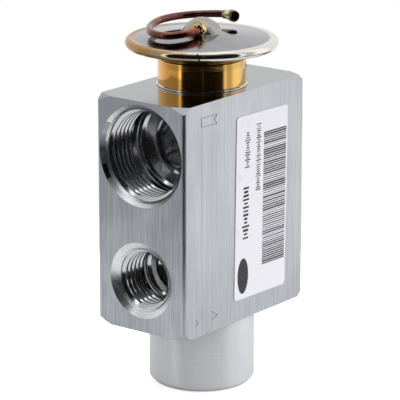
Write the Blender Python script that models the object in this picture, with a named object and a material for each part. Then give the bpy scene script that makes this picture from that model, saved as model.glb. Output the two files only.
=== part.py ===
"""Block expansion valve for a refrigerant circuit, modelled piece by piece.

Lengths are metres and +Z runs up the valve's own axis. The origin is the centre of the
lower end of the spring housing, on which the valve stands. The -Y face has the liquid
inlet with the suction outlet above it, the +Y face has the outlet to the evaporator with
the suction inlet above it, and the +X face carries the label.
"""

import math
from collections import namedtuple

import bmesh
import bpy
from mathutils import Matrix, Vector

# Clearances
SEAT_GAP = 0.0001
PRESS_GAP = 0.00008
RUNNING_GAP = 0.00008
SKIN_GAP = 0.00005
CUT_OVERRUN = 0.002
STEP_CHAMFER = 0.0004

# Facets round a full turn
FINE = 40
MEDIUM = 30
COARSE = 24
SMALL = 16
SEAL_SECTION_FACETS = 7

# A screwed connection: spot face, sealing cone, thread, relief, tube bore and step
Port = namedtuple(
    "Port",
    "spot_radius spot_depth cone_radius cone_depth thread_radius minor_radius thread_end "
    "relief_end tube_radius tube_end step_radius step_end depth",
)
SUCTION_PORT = Port(
    spot_radius=0.0123,
    spot_depth=0.00015,
    cone_radius=0.01146,
    cone_depth=0.0016,
    thread_radius=0.0110,
    minor_radius=0.0102,
    thread_end=0.0102,
    relief_end=0.0123,
    tube_radius=0.0100,
    tube_end=0.0142,
    step_radius=0.0082,
    step_end=0.0160,
    depth=0.0168,
)
LIQUID_PORT = Port(
    spot_radius=0.00925,
    spot_depth=0.00015,
    cone_radius=0.00777,
    cone_depth=0.0014,
    thread_radius=0.0073,
    minor_radius=0.0064,
    thread_end=0.0089,
    relief_end=0.0103,
    tube_radius=0.0063,
    tube_end=0.0116,
    step_radius=0.0054,
    step_end=0.0126,
    depth=0.0134,
)
PORT_THREAD_CHAMFER = 0.0005
DRILL_POINT_SLOPE = 0.6
PORT_SIDE_WALL = 0.0008

# Block
PASSAGE_LENGTH = 0.0133
INLET_RISE = 0.0126
OUTLET_OFFSET = 0.0069
PORT_SPACING = 0.0302
TOP_MARGIN = 0.0132
EDGE_FILLET = 0.0009
EDGE_FILLET_STEPS = 3
CORNER_TURN_DROP = 0.00176
SUCTION_PASSAGE_RADIUS = 0.0070
LIQUID_BORE_RADIUS = 0.0030

# Spring housing below the block
BOSS_RADIUS = 0.01275
BOSS_HEIGHT = 0.0175
BOSS_CHAMFER = 0.00115
BOSS_MOUTH_CHAMFER = 0.00075

# Expansion orifice and the bores along the axis
ORIFICE_RISE = 0.0035
ORIFICE_RADIUS = 0.0012
ORIFICE_LENGTH = 0.0028
SEAT_CONE_WIDTH = 0.0016
CHAMBER_RADIUS = 0.0052
ROD_SEAL_POCKET_DEPTH = 0.0058
ROD_SEAL_POCKET_RADIUS = 0.0032
EQUALISER_RADIUS = 0.0030

# Push rod, ball and carrier
ROD_RADIUS = 0.0015
ROD_TIP_RADIUS = 0.0008
ROD_TIP_TAPER = 0.0007
BALL_RADIUS = 0.0020
CARRIER_RADIUS = 0.0043
CARRIER_FLANGE = 0.0016
CARRIER_RIM_BELOW_BALL_CENTRE = 0.0007
CARRIER_CUP_FLAT = 0.0006
CARRIER_FLOOR = 0.00065
LOCATOR_RADIUS = 0.0027
LOCATOR_LENGTH = 0.0020

# Damping ring
DAMPER_THICKNESS = 0.00025
DAMPER_INNER_RADIUS = 0.0029
DAMPER_FINGERS = 3
DAMPER_FIRST_FINGER = math.radians(90)
DAMPER_FINGER_FACETS = 3
DAMPER_FINGER_LENGTH = 0.0026
DAMPER_BEND = 0.0003
DAMPER_FACETS = 36

# Superheat spring
SPRING_WIRE = 0.0009
SPRING_RADIUS = 0.00355
SPRING_ACTIVE_TURNS = 5
SPRING_CLOSED_TURNS = 1
SPRING_CLOSED_PITCH = 0.0010
SPRING_STEPS_PER_TURN = 11

# Adjusting screw, its seal and the spring seat
SCREW_THREAD_RADIUS = 0.0060
SCREW_THREAD_LENGTH = 0.0036
SCREW_LENGTH = 0.0094
SCREW_RECESS = 0.0034
SCREW_TRAVEL = 0.0015
SCREW_BODY_RADIUS = 0.0055
SCREW_CHAMFER = 0.0004
SCREW_GROOVE_RADIUS = 0.0044
SCREW_GROOVE_WIDTH = 0.0013
SCREW_GROOVE_RISE = 0.0073
SCREW_SEAL_SECTION = 0.0005
KEY_ACROSS_FLATS = 0.0060
KEY_DEPTH = 0.0040
SPRING_SEAT_RADIUS = 0.00495
SPRING_SEAT_THICKNESS = 0.0020

# Rod seal in the floor of the suction passage
ROD_SEAL_SECTION = 0.0007
ROD_SEAL_FLOOR_GAP = 0.0002
WASHER_THICKNESS = 0.0008
WASHER_RADIAL_GAP = 0.0002

# Head neck
NECK_RADIUS = 0.01055
NECK_HEIGHT = 0.00675
NECK_THREAD_RADIUS = 0.0080
NECK_SOCKET_WEB = 0.0008
NECK_FOOT_PROUD = 0.0003
NECK_FOOT_HEIGHT = 0.00035
NECK_CHAMFER = 0.0003
NECK_SPIGOT_RADIUS = 0.0079
NECK_SPIGOT_HEIGHT = 0.0011
NECK_BORE_RADIUS = 0.0046
NECK_SEAL_SECTION = 0.0006
NECK_SEAL_GROOVE_DEPTH = 0.0013
NECK_SEAL_GROOVE_WIDTH = 0.0014

# Head shells
HEAD_RADIUS = 0.01827
HEM_RADIUS = 0.0012
HEM_START = math.radians(112)
HEM_LIP_WIDTH = 0.0015
HEM_WRAP = 0.0007
SHELL_THICKNESS = 0.0008
LOWER_SHELL_THICKNESS = 0.00065
LOWER_SHELL_FLAT_RADIUS = 0.0111
LOWER_SHELL_RISE = 0.00273
PLATE_CROWN = 0.00134
PLATE_EDGE_DROP = 0.0002
PLATE_EDGE_WIDTH = 0.0010
DOME_RADIUS = 0.00475
DOME_HEIGHT = 0.0035
DOME_ARC_STEPS = 5
HEM_ARC_STEPS = 6

# Diaphragm and the pad that it pushes
DIAPHRAGM_THICKNESS = 0.00015
DIAPHRAGM_WAVES = 2
DIAPHRAGM_WAVE_DEPTH = 0.0003
DIAPHRAGM_WAVE_STEPS = 4
DIAPHRAGM_PLAIN_EDGE = 0.0026
PAD_RADIUS = 0.0120
PAD_THICKNESS = 0.0010
PAD_STEM_LENGTH = 0.0086
PAD_SOCKET_DEPTH = 0.0031
PAD_CHAMFER = 0.0003

# Charge tube and its closed end
TUBE_RADIUS = 0.0009
TUBE_ENTRY_ANGLE = math.radians(-64)
TUBE_ENTRY_DEPTH = 0.0027
TUBE_ENTRY_HEIGHT = 0.0013
TUBE_SPAN_POINTS = 3
FERRULE_RADIUS = 0.00145
FERRULE_WAIST_RADIUS = 0.00112
FERRULE_LENGTH = 0.0040
FERRULE_WAIST_LENGTH = 0.0006
FERRULE_TAPER_LENGTH = 0.0016
FERRULE_CHAMFER = 0.0002
FERRULE_MOUTH_RADIUS = 0.00118
FERRULE_MOUTH_DEPTH = 0.0014
FERRULE_BORE_STEPS = 6
BRAZE_RADIUS = 0.0019
BRAZE_NOSE_RADIUS = 0.0012
BRAZE_LENGTH = 0.0011
BRAZE_PROUD = 0.0002

# Label on the +X face
LABEL_WIDTH = 0.0203
LABEL_HEIGHT = 0.0450
LABEL_THICKNESS = 0.00012
LABEL_CORNER = 0.0010
LABEL_CORNER_STEPS = 4
LABEL_SHIFT = 0.0061
LABEL_RISE = 0.02755
LABEL_TILT = math.radians(-1.1)

# Sizes and heights that follow from the ones above
BLOCK_WIDTH = 2 * (SUCTION_PORT.spot_radius + PORT_SIDE_WALL)
BLOCK_DEPTH = 2 * SUCTION_PORT.depth + PASSAGE_LENGTH
BLOCK_BOTTOM = BOSS_HEIGHT
INLET_Z = BLOCK_BOTTOM + INLET_RISE
OUTLET_Z = INLET_Z + OUTLET_OFFSET
SUCTION_Z = INLET_Z + PORT_SPACING
BLOCK_TOP = SUCTION_Z + TOP_MARGIN
FRONT_FACE = -BLOCK_DEPTH / 2
REAR_FACE = BLOCK_DEPTH / 2
ORIFICE_Z = INLET_Z + ORIFICE_RISE
ORIFICE_TOP = ORIFICE_Z + ORIFICE_LENGTH
OUTLET_BORE_Z = ORIFICE_TOP + LIQUID_BORE_RADIUS - STEP_CHAMFER
OUTLET_CHAMBER_TOP = OUTLET_BORE_Z + LIQUID_BORE_RADIUS + STEP_CHAMFER / 2
PASSAGE_FLOOR = SUCTION_Z - SUCTION_PASSAGE_RADIUS
SEAL_POCKET_FLOOR = PASSAGE_FLOOR - ROD_SEAL_POCKET_DEPTH
SOCKET_FLOOR = SUCTION_Z + SUCTION_PORT.step_radius + NECK_SOCKET_WEB
BALL_Z = ORIFICE_Z + ORIFICE_RADIUS - math.sqrt(2) * (BALL_RADIUS + PRESS_GAP)
CARRIER_TOP = BALL_Z - CARRIER_RIM_BELOW_BALL_CENTRE
CUP_APEX = BALL_Z - math.sqrt(2) * (BALL_RADIUS + PRESS_GAP)
CARRIER_FLANGE_Z = CUP_APEX - CARRIER_FLOOR
DAMPER_Z = CARRIER_FLANGE_Z - SEAT_GAP - DAMPER_THICKNESS
SPRING_TOP = DAMPER_Z - SEAT_GAP
SCREW_Z = SCREW_RECESS
SCREW_TOP = SCREW_Z + SCREW_LENGTH
SPRING_SEAT_Z = SCREW_TOP + SEAT_GAP
SPRING_BOTTOM = SPRING_SEAT_Z + SPRING_SEAT_THICKNESS + SEAT_GAP
SCREW_BORE_TOP = SCREW_TOP + SCREW_TRAVEL + 3 * STEP_CHAMFER
SCREW_THREAD_TOP = SCREW_Z + SCREW_THREAD_LENGTH + SCREW_TRAVEL + 2 * SEAT_GAP
NECK_Z = BLOCK_TOP + SKIN_GAP
LOWER_SHELL_Z = NECK_Z + NECK_HEIGHT + SEAT_GAP
FLANGE_Z = LOWER_SHELL_Z + LOWER_SHELL_RISE
FLANGE_TOP = FLANGE_Z + LOWER_SHELL_THICKNESS
DIAPHRAGM_Z = FLANGE_TOP + PRESS_GAP
PLATE_UNDERSIDE = DIAPHRAGM_Z + DIAPHRAGM_THICKNESS + PRESS_GAP
HEM_Z = PLATE_UNDERSIDE + SHELL_THICKNESS - HEM_RADIUS
HEM_CENTRE_RADIUS = HEAD_RADIUS - HEM_RADIUS
HEM_INNER_RADIUS = HEAD_RADIUS - HEM_LIP_WIDTH
FLANGE_RADIUS = HEAD_RADIUS - HEM_WRAP
PLATE_Z = PLATE_UNDERSIDE + SHELL_THICKNESS - PLATE_EDGE_DROP
DISC_CENTRE_Z = PLATE_Z + PLATE_CROWN
PLATE_EDGE_RADIUS = HEM_CENTRE_RADIUS - PLATE_EDGE_WIDTH
PAD_TOP = DIAPHRAGM_Z - SEAT_GAP
PAD_Z = PAD_TOP - PAD_THICKNESS
PAD_STEM_Z = PAD_Z - PAD_STEM_LENGTH
ROD_TOP = PAD_STEM_Z + PAD_SOCKET_DEPTH - SEAT_GAP
ROD_BOTTOM = BALL_Z + BALL_RADIUS + SEAT_GAP
TUBE_ENTRY_Z = DISC_CENTRE_Z + TUBE_ENTRY_HEIGHT

# The loop of the charge tube over the head: x, y and height over the dome's foot, in mm
TUBE_LOOP_UNIT = 0.001
TUBE_LOOP = (
    (1.97, -4.04, 1.30),
    (2.26, -4.64, 1.29),
    (2.20, -5.70, 1.22),
    (1.70, -7.20, 1.10),
    (0.70, -9.10, 0.86),
    (-1.00, -10.8, 0.66),
    (-3.60, -11.4, 0.58),
    (-6.60, -10.5, 0.62),
    (-9.30, -8.20, 0.75),
    (-11.2, -5.20, 0.95),
    (-12.3, -1.60, 1.20),
    (-12.6, 2.00, 1.28),
    (-12.0, 5.60, 1.32),
    (-10.6, 8.60, 1.36),
    (-8.60, 11.0, 1.41),
    (-6.40, 12.8, 1.47),
    (-4.40, 13.8, 1.50),
    (-2.65, 14.0, 1.52),
    (-1.30, 13.6, 1.53),
    (-0.20, 13.1, 1.53),
)


def clear_scene():
    """Remove every object that the scene starts with."""
    for obj in list(bpy.data.objects):
        bpy.data.objects.remove(obj, do_unlink=True)


def finish(name, colour, roughness, metallic):
    """Make a material with one colour, roughness and metallic value."""
    material = bpy.data.materials.new(name)
    material.use_nodes = True
    shader = material.node_tree.nodes["Principled BSDF"]
    shader.inputs["Base Color"].default_value = (*colour, 1)
    shader.inputs["Roughness"].default_value = roughness
    shader.inputs["Metallic"].default_value = metallic
    return material


def carriage(name, parent=None):
    """Make an empty on the valve's axis that carries the pieces of one moving body."""
    empty = bpy.data.objects.new(name, None)
    bpy.context.collection.objects.link(empty)
    empty.parent = parent
    return empty


def add_mesh(name, shape, material=None, parent=None, place=None, sharp=math.radians(30)):
    """Turn a bmesh into a named object, shaded smooth except at its sharp edges."""
    bmesh.ops.recalc_face_normals(shape, faces=shape.faces)
    mesh = bpy.data.meshes.new(name)
    shape.to_mesh(mesh)
    shape.free()
    mesh.shade_smooth()
    mesh.set_sharp_from_angle(angle=sharp)
    obj = bpy.data.objects.new(name, mesh)
    bpy.context.collection.objects.link(obj)
    obj.parent = parent
    if place is not None:
        obj.matrix_world = place
    if material is not None:
        mesh.materials.append(material)
    return obj


def as_cutter(obj):
    """Mark an object as a tool for Boolean modifiers and not as a piece of the valve."""
    obj.hide_render = True
    obj.display_type = "WIRE"
    return obj


def boolean(obj, tool, operation="DIFFERENCE"):
    """Add a Boolean modifier that applies the tool to the object."""
    modifier = obj.modifiers.new(tool.name, "BOOLEAN")
    modifier.operation = operation
    modifier.solver = "EXACT"
    modifier.object = tool


def lathe(outline, facets, ring=False):
    """Turn an outline of (radius, height) points about Z into a closed body.

    A solid's outline starts and ends on the axis. A ring's outline is a closed loop that
    stays clear of the axis.
    """
    shape = bmesh.new()
    hoops = []
    for radius, height in outline:
        if radius == 0:
            hoops.append([shape.verts.new((0, 0, height))] * facets)
            continue
        hoop = []
        for step in range(facets):
            angle = math.tau * step / facets
            hoop.append(shape.verts.new((radius * math.cos(angle), radius * math.sin(angle), height)))
        hoops.append(hoop)
    pairs = list(zip(hoops, hoops[1:]))
    if ring:
        pairs.append((hoops[-1], hoops[0]))
    for lower, upper in pairs:
        for step in range(facets):
            following = (step + 1) % facets
            corners = (lower[step], lower[following], upper[following], upper[step])
            face = [v for n, v in enumerate(corners) if v not in corners[:n]]
            if len(face) > 2:
                shape.faces.new(face)
    return shape


def standing(z):
    """Place for a turned piece whose own height zero is at height z on the valve's axis."""
    return Matrix.Translation((0, 0, z))


def into_front(z):
    """Place for a port cutter whose own height is the depth below the front face."""
    return Matrix.Translation((0, FRONT_FACE, z)) @ Matrix.Rotation(-math.pi / 2, 4, "X")


def into_rear(z):
    """Place for a port cutter whose own height is the depth below the rear face."""
    return Matrix.Translation((0, REAR_FACE, z)) @ Matrix.Rotation(math.pi / 2, 4, "X")


def arc(centre_radius, centre_height, radius, start, end, steps):
    """Points of an arc in an outline, from one angle to the other."""
    points = []
    for step in range(steps + 1):
        angle = start + (end - start) * step / steps
        out = radius * math.cos(angle)
        up = radius * math.sin(angle)
        points.append((centre_radius + out, centre_height + up))
    return points


def port_outline(port):
    """Outline of a screwed connection, as (radius, depth) from outside the face inwards."""
    chamfer = PORT_THREAD_CHAMFER
    relief = port.thread_radius + SEAT_GAP
    return [
        (port.spot_radius, -CUT_OVERRUN),
        (port.spot_radius, port.spot_depth),
        (port.cone_radius, port.spot_depth),
        (port.thread_radius, port.cone_depth),
        (port.minor_radius, port.cone_depth + chamfer),
        (port.minor_radius, port.thread_end - chamfer),
        (relief, port.thread_end),
        (relief, port.relief_end),
        (port.tube_radius, port.relief_end + chamfer),
        (port.tube_radius, port.tube_end),
        (port.step_radius, port.step_end),
        (port.step_radius, port.depth),
    ]


def suction_cutter():
    """Cutter for the straight suction way: a screwed port at each end and a bore between."""
    front = port_outline(SUCTION_PORT)
    rear = [(radius, BLOCK_DEPTH - depth) for radius, depth in reversed(front)]
    outline = [
        (0, -CUT_OVERRUN),
        *front,
        (SUCTION_PASSAGE_RADIUS, SUCTION_PORT.depth),
        (SUCTION_PASSAGE_RADIUS, BLOCK_DEPTH - SUCTION_PORT.depth),
        *rear,
        (0, BLOCK_DEPTH + CUT_OVERRUN),
    ]
    return as_cutter(add_mesh("cut_suction_way", lathe(outline, FINE), place=into_front(SUCTION_Z)))


def inlet_cutter():
    """Cutter for the liquid inlet: a screwed port and a bore into the spring chamber."""
    drill_point = LIQUID_PORT.step_radius - LIQUID_BORE_RADIUS
    reach = BLOCK_DEPTH / 2 - CHAMBER_RADIUS / 2
    outline = [
        (0, -CUT_OVERRUN),
        *port_outline(LIQUID_PORT),
        (LIQUID_BORE_RADIUS, LIQUID_PORT.depth + drill_point * DRILL_POINT_SLOPE),
        (LIQUID_BORE_RADIUS, reach),
        (0, reach),
    ]
    return as_cutter(add_mesh("cut_liquid_inlet", lathe(outline, MEDIUM), place=into_front(INLET_Z)))


def outlet_cutters():
    """Cutters for the outlet: a screwed port, and a bore from it to above the orifice."""
    port = [(0, -CUT_OVERRUN), *port_outline(LIQUID_PORT), (0, LIQUID_PORT.depth)]
    reach = BLOCK_DEPTH / 2
    bore = [
        (0, LIQUID_PORT.step_end),
        (LIQUID_BORE_RADIUS, LIQUID_PORT.step_end),
        (LIQUID_BORE_RADIUS, reach),
        (0, reach),
    ]
    return (
        as_cutter(add_mesh("cut_outlet_port", lathe(port, MEDIUM), place=into_rear(OUTLET_Z))),
        as_cutter(add_mesh("cut_outlet_bore", lathe(bore, COARSE), place=into_rear(OUTLET_BORE_Z))),
    )


def axis_cutter():
    """Cutter for every bore on the axis below the suction way, from the boss upwards."""
    thread = SCREW_THREAD_RADIUS + RUNNING_GAP
    sealed = SCREW_BODY_RADIUS + 2 * RUNNING_GAP
    seat_top = ORIFICE_Z - SEAT_CONE_WIDTH
    guide = ROD_RADIUS + RUNNING_GAP
    guide_cone = LIQUID_BORE_RADIUS - guide
    outline = [
        (0, -CUT_OVERRUN),
        (thread + BOSS_MOUTH_CHAMFER, -CUT_OVERRUN),
        (thread + BOSS_MOUTH_CHAMFER, 0),
        (thread, BOSS_MOUTH_CHAMFER),
        (thread, SCREW_THREAD_TOP),
        (sealed, SCREW_THREAD_TOP + STEP_CHAMFER),
        (sealed, SCREW_BORE_TOP),
        (CHAMBER_RADIUS, SCREW_BORE_TOP + STEP_CHAMFER),
        (CHAMBER_RADIUS, seat_top),
        (ORIFICE_RADIUS + SEAT_CONE_WIDTH, seat_top),
        (ORIFICE_RADIUS, ORIFICE_Z),
        (ORIFICE_RADIUS, ORIFICE_TOP),
        (LIQUID_BORE_RADIUS, ORIFICE_TOP),
        (LIQUID_BORE_RADIUS, OUTLET_CHAMBER_TOP),
        (guide, OUTLET_CHAMBER_TOP + guide_cone),
        (guide, SEAL_POCKET_FLOOR),
        (ROD_SEAL_POCKET_RADIUS, SEAL_POCKET_FLOOR),
        (ROD_SEAL_POCKET_RADIUS, PASSAGE_FLOOR + CUT_OVERRUN),
        (0, PASSAGE_FLOOR + CUT_OVERRUN),
    ]
    return as_cutter(add_mesh("cut_axis_bores", lathe(outline, COARSE), place=standing(0)))


def head_socket_cutter():
    """Cutter for the threaded socket that takes the head, and the way down to the suction."""
    thread = NECK_THREAD_RADIUS + RUNNING_GAP
    groove_floor = BLOCK_TOP - NECK_SEAL_GROOVE_DEPTH
    ceiling = SUCTION_Z + SUCTION_PASSAGE_RADIUS - CUT_OVERRUN
    outline = [
        (0, ceiling),
        (EQUALISER_RADIUS, ceiling),
        (EQUALISER_RADIUS, SOCKET_FLOOR),
        (thread, SOCKET_FLOOR),
        (thread, groove_floor),
        (thread + NECK_SEAL_GROOVE_WIDTH, groove_floor),
        (thread + NECK_SEAL_GROOVE_WIDTH, BLOCK_TOP + CUT_OVERRUN),
        (0, BLOCK_TOP + CUT_OVERRUN),
    ]
    return as_cutter(add_mesh("cut_head_socket", lathe(outline, MEDIUM), place=standing(0)))


def corner_turning():
    """Tool that leaves what a lathe leaves of the block's eight corners."""
    reach = math.hypot(BLOCK_WIDTH, BLOCK_DEPTH) / 2 + CORNER_TURN_DROP
    radius = math.hypot(BLOCK_WIDTH, BLOCK_DEPTH) / 2 - CORNER_TURN_DROP
    over = STEP_CHAMFER
    rise = reach - radius
    outline = [
        (0, BLOCK_BOTTOM - over),
        (radius - over, BLOCK_BOTTOM - over),
        (reach, BLOCK_BOTTOM + rise),
        (reach, BLOCK_TOP - rise),
        (radius - over, BLOCK_TOP + over),
        (0, BLOCK_TOP + over),
    ]
    return as_cutter(add_mesh("turn_block_corners", lathe(outline, 3 * COARSE), place=standing(0)))


def boss_tool():
    """The turned spring housing, which is one piece with the block."""
    outline = [
        (0, 0),
        (BOSS_RADIUS - BOSS_CHAMFER, 0),
        (BOSS_RADIUS, BOSS_CHAMFER),
        (BOSS_RADIUS, BLOCK_BOTTOM + CUT_OVERRUN),
        (0, BLOCK_BOTTOM + CUT_OVERRUN),
    ]
    return as_cutter(add_mesh("add_spring_housing", lathe(outline, FINE), place=standing(0)))


def valve_body(material, parent):
    """The extruded and machined block with its turned spring housing."""
    shape = bmesh.new()
    size = Matrix.Diagonal((BLOCK_WIDTH, BLOCK_DEPTH, BLOCK_TOP - BLOCK_BOTTOM, 1))
    middle = Matrix.Translation((0, 0, (BLOCK_TOP + BLOCK_BOTTOM) / 2))
    bmesh.ops.create_cube(shape, size=1, matrix=middle @ size)
    upright = [e for e in shape.edges if abs(e.verts[0].co.z - e.verts[1].co.z) > BLOCK_WIDTH / 2]
    bmesh.ops.bevel(
        shape,
        geom=upright,
        offset=EDGE_FILLET,
        segments=EDGE_FILLET_STEPS,
        profile=0.5,
        affect="EDGES",
    )
    body = add_mesh("valve_body", shape, material, parent)
    boolean(body, corner_turning(), "INTERSECT")
    boolean(body, boss_tool(), "UNION")
    boolean(body, suction_cutter())
    boolean(body, inlet_cutter())
    for cutter in outlet_cutters():
        boolean(body, cutter)
    boolean(body, axis_cutter())
    boolean(body, head_socket_cutter())
    return body


def o_ring(name, inner_radius, section, z, material, parent):
    """A rubber ring that lies round the axis, with its section's centre at height z."""
    outline = arc(inner_radius + section, 0, section, 0, math.tau, SEAL_SECTION_FACETS)[:-1]
    return add_mesh(name, lathe(outline, COARSE, ring=True), material, parent, standing(z))


def label(material, parent):
    """The paper label, a little crooked on the +X face."""
    shape = bmesh.new()
    half_width = LABEL_WIDTH / 2 - LABEL_CORNER
    half_height = LABEL_HEIGHT / 2 - LABEL_CORNER
    corners = ((1, 1, 0), (-1, 1, 90), (-1, -1, 180), (1, -1, 270))
    outline = []
    for side, end, start in corners:
        turn = math.radians(start)
        centre = (side * half_width, end * half_height)
        outline += arc(*centre, LABEL_CORNER, turn, turn + math.pi / 2, LABEL_CORNER_STEPS)
    face = shape.faces.new([shape.verts.new((0, y, z)) for y, z in outline])
    thickened = bmesh.ops.extrude_face_region(shape, geom=[face])
    moved = [item for item in thickened["geom"] if isinstance(item, bmesh.types.BMVert)]
    bmesh.ops.translate(shape, verts=moved, vec=(LABEL_THICKNESS, 0, 0))
    centre = Vector((BLOCK_WIDTH / 2 + SKIN_GAP, LABEL_SHIFT, BLOCK_BOTTOM + LABEL_RISE))
    place = Matrix.Translation(centre) @ Matrix.Rotation(LABEL_TILT, 4, "X")
    return add_mesh("label", shape, material, parent, place)


def head_neck(material, parent):
    """The turned bush that screws into the block and carries the head."""
    thread_bottom = SOCKET_FLOOR + 3 * SEAT_GAP - NECK_Z
    outline = [
        (NECK_BORE_RADIUS, thread_bottom),
        (NECK_THREAD_RADIUS - NECK_CHAMFER, thread_bottom),
        (NECK_THREAD_RADIUS, thread_bottom + NECK_CHAMFER),
        (NECK_THREAD_RADIUS, 0),
        (NECK_RADIUS + NECK_FOOT_PROUD, 0),
        (NECK_RADIUS + NECK_FOOT_PROUD, NECK_FOOT_HEIGHT),
        (NECK_RADIUS, NECK_FOOT_HEIGHT + NECK_FOOT_PROUD / 2),
        (NECK_RADIUS, NECK_HEIGHT - NECK_CHAMFER),
        (NECK_RADIUS - NECK_CHAMFER, NECK_HEIGHT),
        (NECK_SPIGOT_RADIUS, NECK_HEIGHT),
        (NECK_SPIGOT_RADIUS, NECK_HEIGHT + NECK_SPIGOT_HEIGHT),
        (NECK_BORE_RADIUS, NECK_HEIGHT + NECK_SPIGOT_HEIGHT),
    ]
    return add_mesh("head_neck", lathe(outline, MEDIUM, ring=True), material, parent, standing(NECK_Z))


def head_lower_shell(material, parent):
    """The pressed plate under the diaphragm, seated on the neck's shoulder."""
    wall = LOWER_SHELL_THICKNESS
    hole = NECK_SPIGOT_RADIUS + SEAT_GAP
    flange_start = HEM_INNER_RADIUS - 4 * SEAT_GAP
    outline = [
        (hole, 0),
        (LOWER_SHELL_FLAT_RADIUS, 0),
        (flange_start, LOWER_SHELL_RISE),
        (FLANGE_RADIUS, LOWER_SHELL_RISE),
        (FLANGE_RADIUS, LOWER_SHELL_RISE + wall),
        (flange_start - wall / 2, LOWER_SHELL_RISE + wall),
        (LOWER_SHELL_FLAT_RADIUS - wall / 3, wall),
        (hole, wall),
    ]
    shape = lathe(outline, MEDIUM, ring=True)
    return add_mesh("head_lower_shell", shape, material, parent, standing(LOWER_SHELL_Z))


def dome_arc(offset=0):
    """Arc of the dome's outer skin, or of a skin parallel to it, from its top to its foot."""
    ball = (DOME_RADIUS**2 + DOME_HEIGHT**2) / (2 * DOME_HEIGHT)
    centre = DISC_CENTRE_Z + DOME_HEIGHT - ball
    foot = math.asin((DISC_CENTRE_Z + offset - centre) / (ball + offset))
    points = arc(0, centre, ball + offset, math.pi / 2, foot, DOME_ARC_STEPS)
    return [(0, points[0][1]), *points[1:]]


def head_upper_shell(material, parent):
    """The polished cover with its dome, hemmed over the lower shell's flange."""
    wall = SHELL_THICKNESS
    hem = arc(HEM_CENTRE_RADIUS, HEM_Z, HEM_RADIUS, HEM_START, -math.pi / 2, HEM_ARC_STEPS)
    lip_top = FLANGE_Z - PRESS_GAP
    outline = [
        *dome_arc(),
        (PLATE_EDGE_RADIUS, PLATE_Z),
        *hem,
        (HEM_INNER_RADIUS, HEM_Z - HEM_RADIUS),
        (HEM_INNER_RADIUS, lip_top),
        (FLANGE_RADIUS + SEAT_GAP, lip_top),
        (FLANGE_RADIUS + SEAT_GAP, PLATE_UNDERSIDE),
        (PLATE_EDGE_RADIUS, PLATE_UNDERSIDE),
        *reversed(dome_arc(-wall)),
    ]
    shell = add_mesh("head_upper_shell", lathe(outline, MEDIUM), material, parent, standing(0))
    boolean(shell, tube_hole_cutter())
    return shell


def diaphragm(material, parent):
    """The thin corrugated sheet that is clamped between the shells."""
    outer = FLANGE_RADIUS - DIAPHRAGM_PLAIN_EDGE
    inner = PAD_RADIUS + 3 * SEAT_GAP
    steps = DIAPHRAGM_WAVES * DIAPHRAGM_WAVE_STEPS
    upper = [(FLANGE_RADIUS, 0)]
    for step in range(steps + 1):
        share = step / steps
        dip = DIAPHRAGM_WAVE_DEPTH * math.sin(math.pi * DIAPHRAGM_WAVES * share) ** 2
        upper.append((outer + (inner - outer) * share, -dip))
    upper.append((0, 0))
    lower = [(radius, height + DIAPHRAGM_THICKNESS) for radius, height in reversed(upper)]
    shape = lathe([*reversed(upper), *reversed(lower)], COARSE)
    return add_mesh("diaphragm", shape, material, parent, standing(DIAPHRAGM_Z))


def entry_axis(distance):
    """Point on the straight stretch where the tube enters the dome."""
    x = distance * math.cos(TUBE_ENTRY_ANGLE)
    y = distance * math.sin(TUBE_ENTRY_ANGLE)
    return Vector((x, y, TUBE_ENTRY_Z))


def along_entry(distance):
    """Place whose own +Z runs outwards along the tube's entry, from a distance off the axis."""
    heading = Matrix.Rotation(TUBE_ENTRY_ANGLE, 4, "Z") @ Matrix.Rotation(math.pi / 2, 4, "Y")
    return Matrix.Translation(entry_axis(distance)) @ heading


def tube_hole_cutter():
    """Cutter for the hole in the dome's wall."""
    radius = TUBE_RADIUS + SEAT_GAP
    length = DOME_RADIUS
    outline = [(0, 0), (radius, 0), (radius, length), (0, length)]
    place = along_entry(DOME_RADIUS / 3)
    return as_cutter(add_mesh("cut_tube_hole", lathe(outline, SMALL), place=place))


def braze_fillet(material, parent):
    """The ring of brazing metal round the tube, lying against the dome and the plate."""
    start = DOME_RADIUS / 2
    reach = DOME_RADIUS + BRAZE_PROUD - start
    bore = TUBE_RADIUS + PRESS_GAP
    outline = [
        (bore, 0),
        (BRAZE_RADIUS, 0),
        (BRAZE_RADIUS, reach - BRAZE_LENGTH),
        (BRAZE_NOSE_RADIUS, reach),
        (bore, reach),
    ]
    shape = lathe(outline, SMALL, ring=True)
    fillet = add_mesh("braze_fillet", shape, material, parent, along_entry(start))
    under = DISC_CENTRE_Z - 2 * DOME_HEIGHT
    skin = [
        *dome_arc(PRESS_GAP),
        (PLATE_EDGE_RADIUS, PLATE_Z + PRESS_GAP),
        (PLATE_EDGE_RADIUS, under),
        (0, under),
    ]
    boolean(fillet, as_cutter(add_mesh("cut_braze_foot", lathe(skin, MEDIUM), place=standing(0))))
    return fillet


def tube_route():
    """Points of the tube: straight out of the dome, then smoothly round its loop."""
    knots = [entry_axis(TUBE_ENTRY_DEPTH), entry_axis((TUBE_ENTRY_DEPTH + DOME_RADIUS) / 2)]
    foot = Vector((0, 0, DISC_CENTRE_Z))
    knots += [foot + Vector(place) * TUBE_LOOP_UNIT for place in TUBE_LOOP]
    padded = [2 * knots[0] - knots[1], *knots, 2 * knots[-1] - knots[-2]]
    points = []
    for before, start, end, after in zip(padded, padded[1:], padded[2:], padded[3:]):
        for step in range(TUBE_SPAN_POINTS):
            share = step / TUBE_SPAN_POINTS
            points.append(catmull_rom(before, start, end, after, share))
    points.append(knots[-1])
    return points


def catmull_rom(before, start, end, after, share):
    """Point on the smooth curve from start to end that leaves its neighbours in line."""
    constant = 2 * start
    linear = end - before
    square = 2 * before - 5 * start + 4 * end - after
    cube = 3 * start - before - 3 * end + after
    return (constant + linear * share + square * share**2 + cube * share**3) / 2


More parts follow.
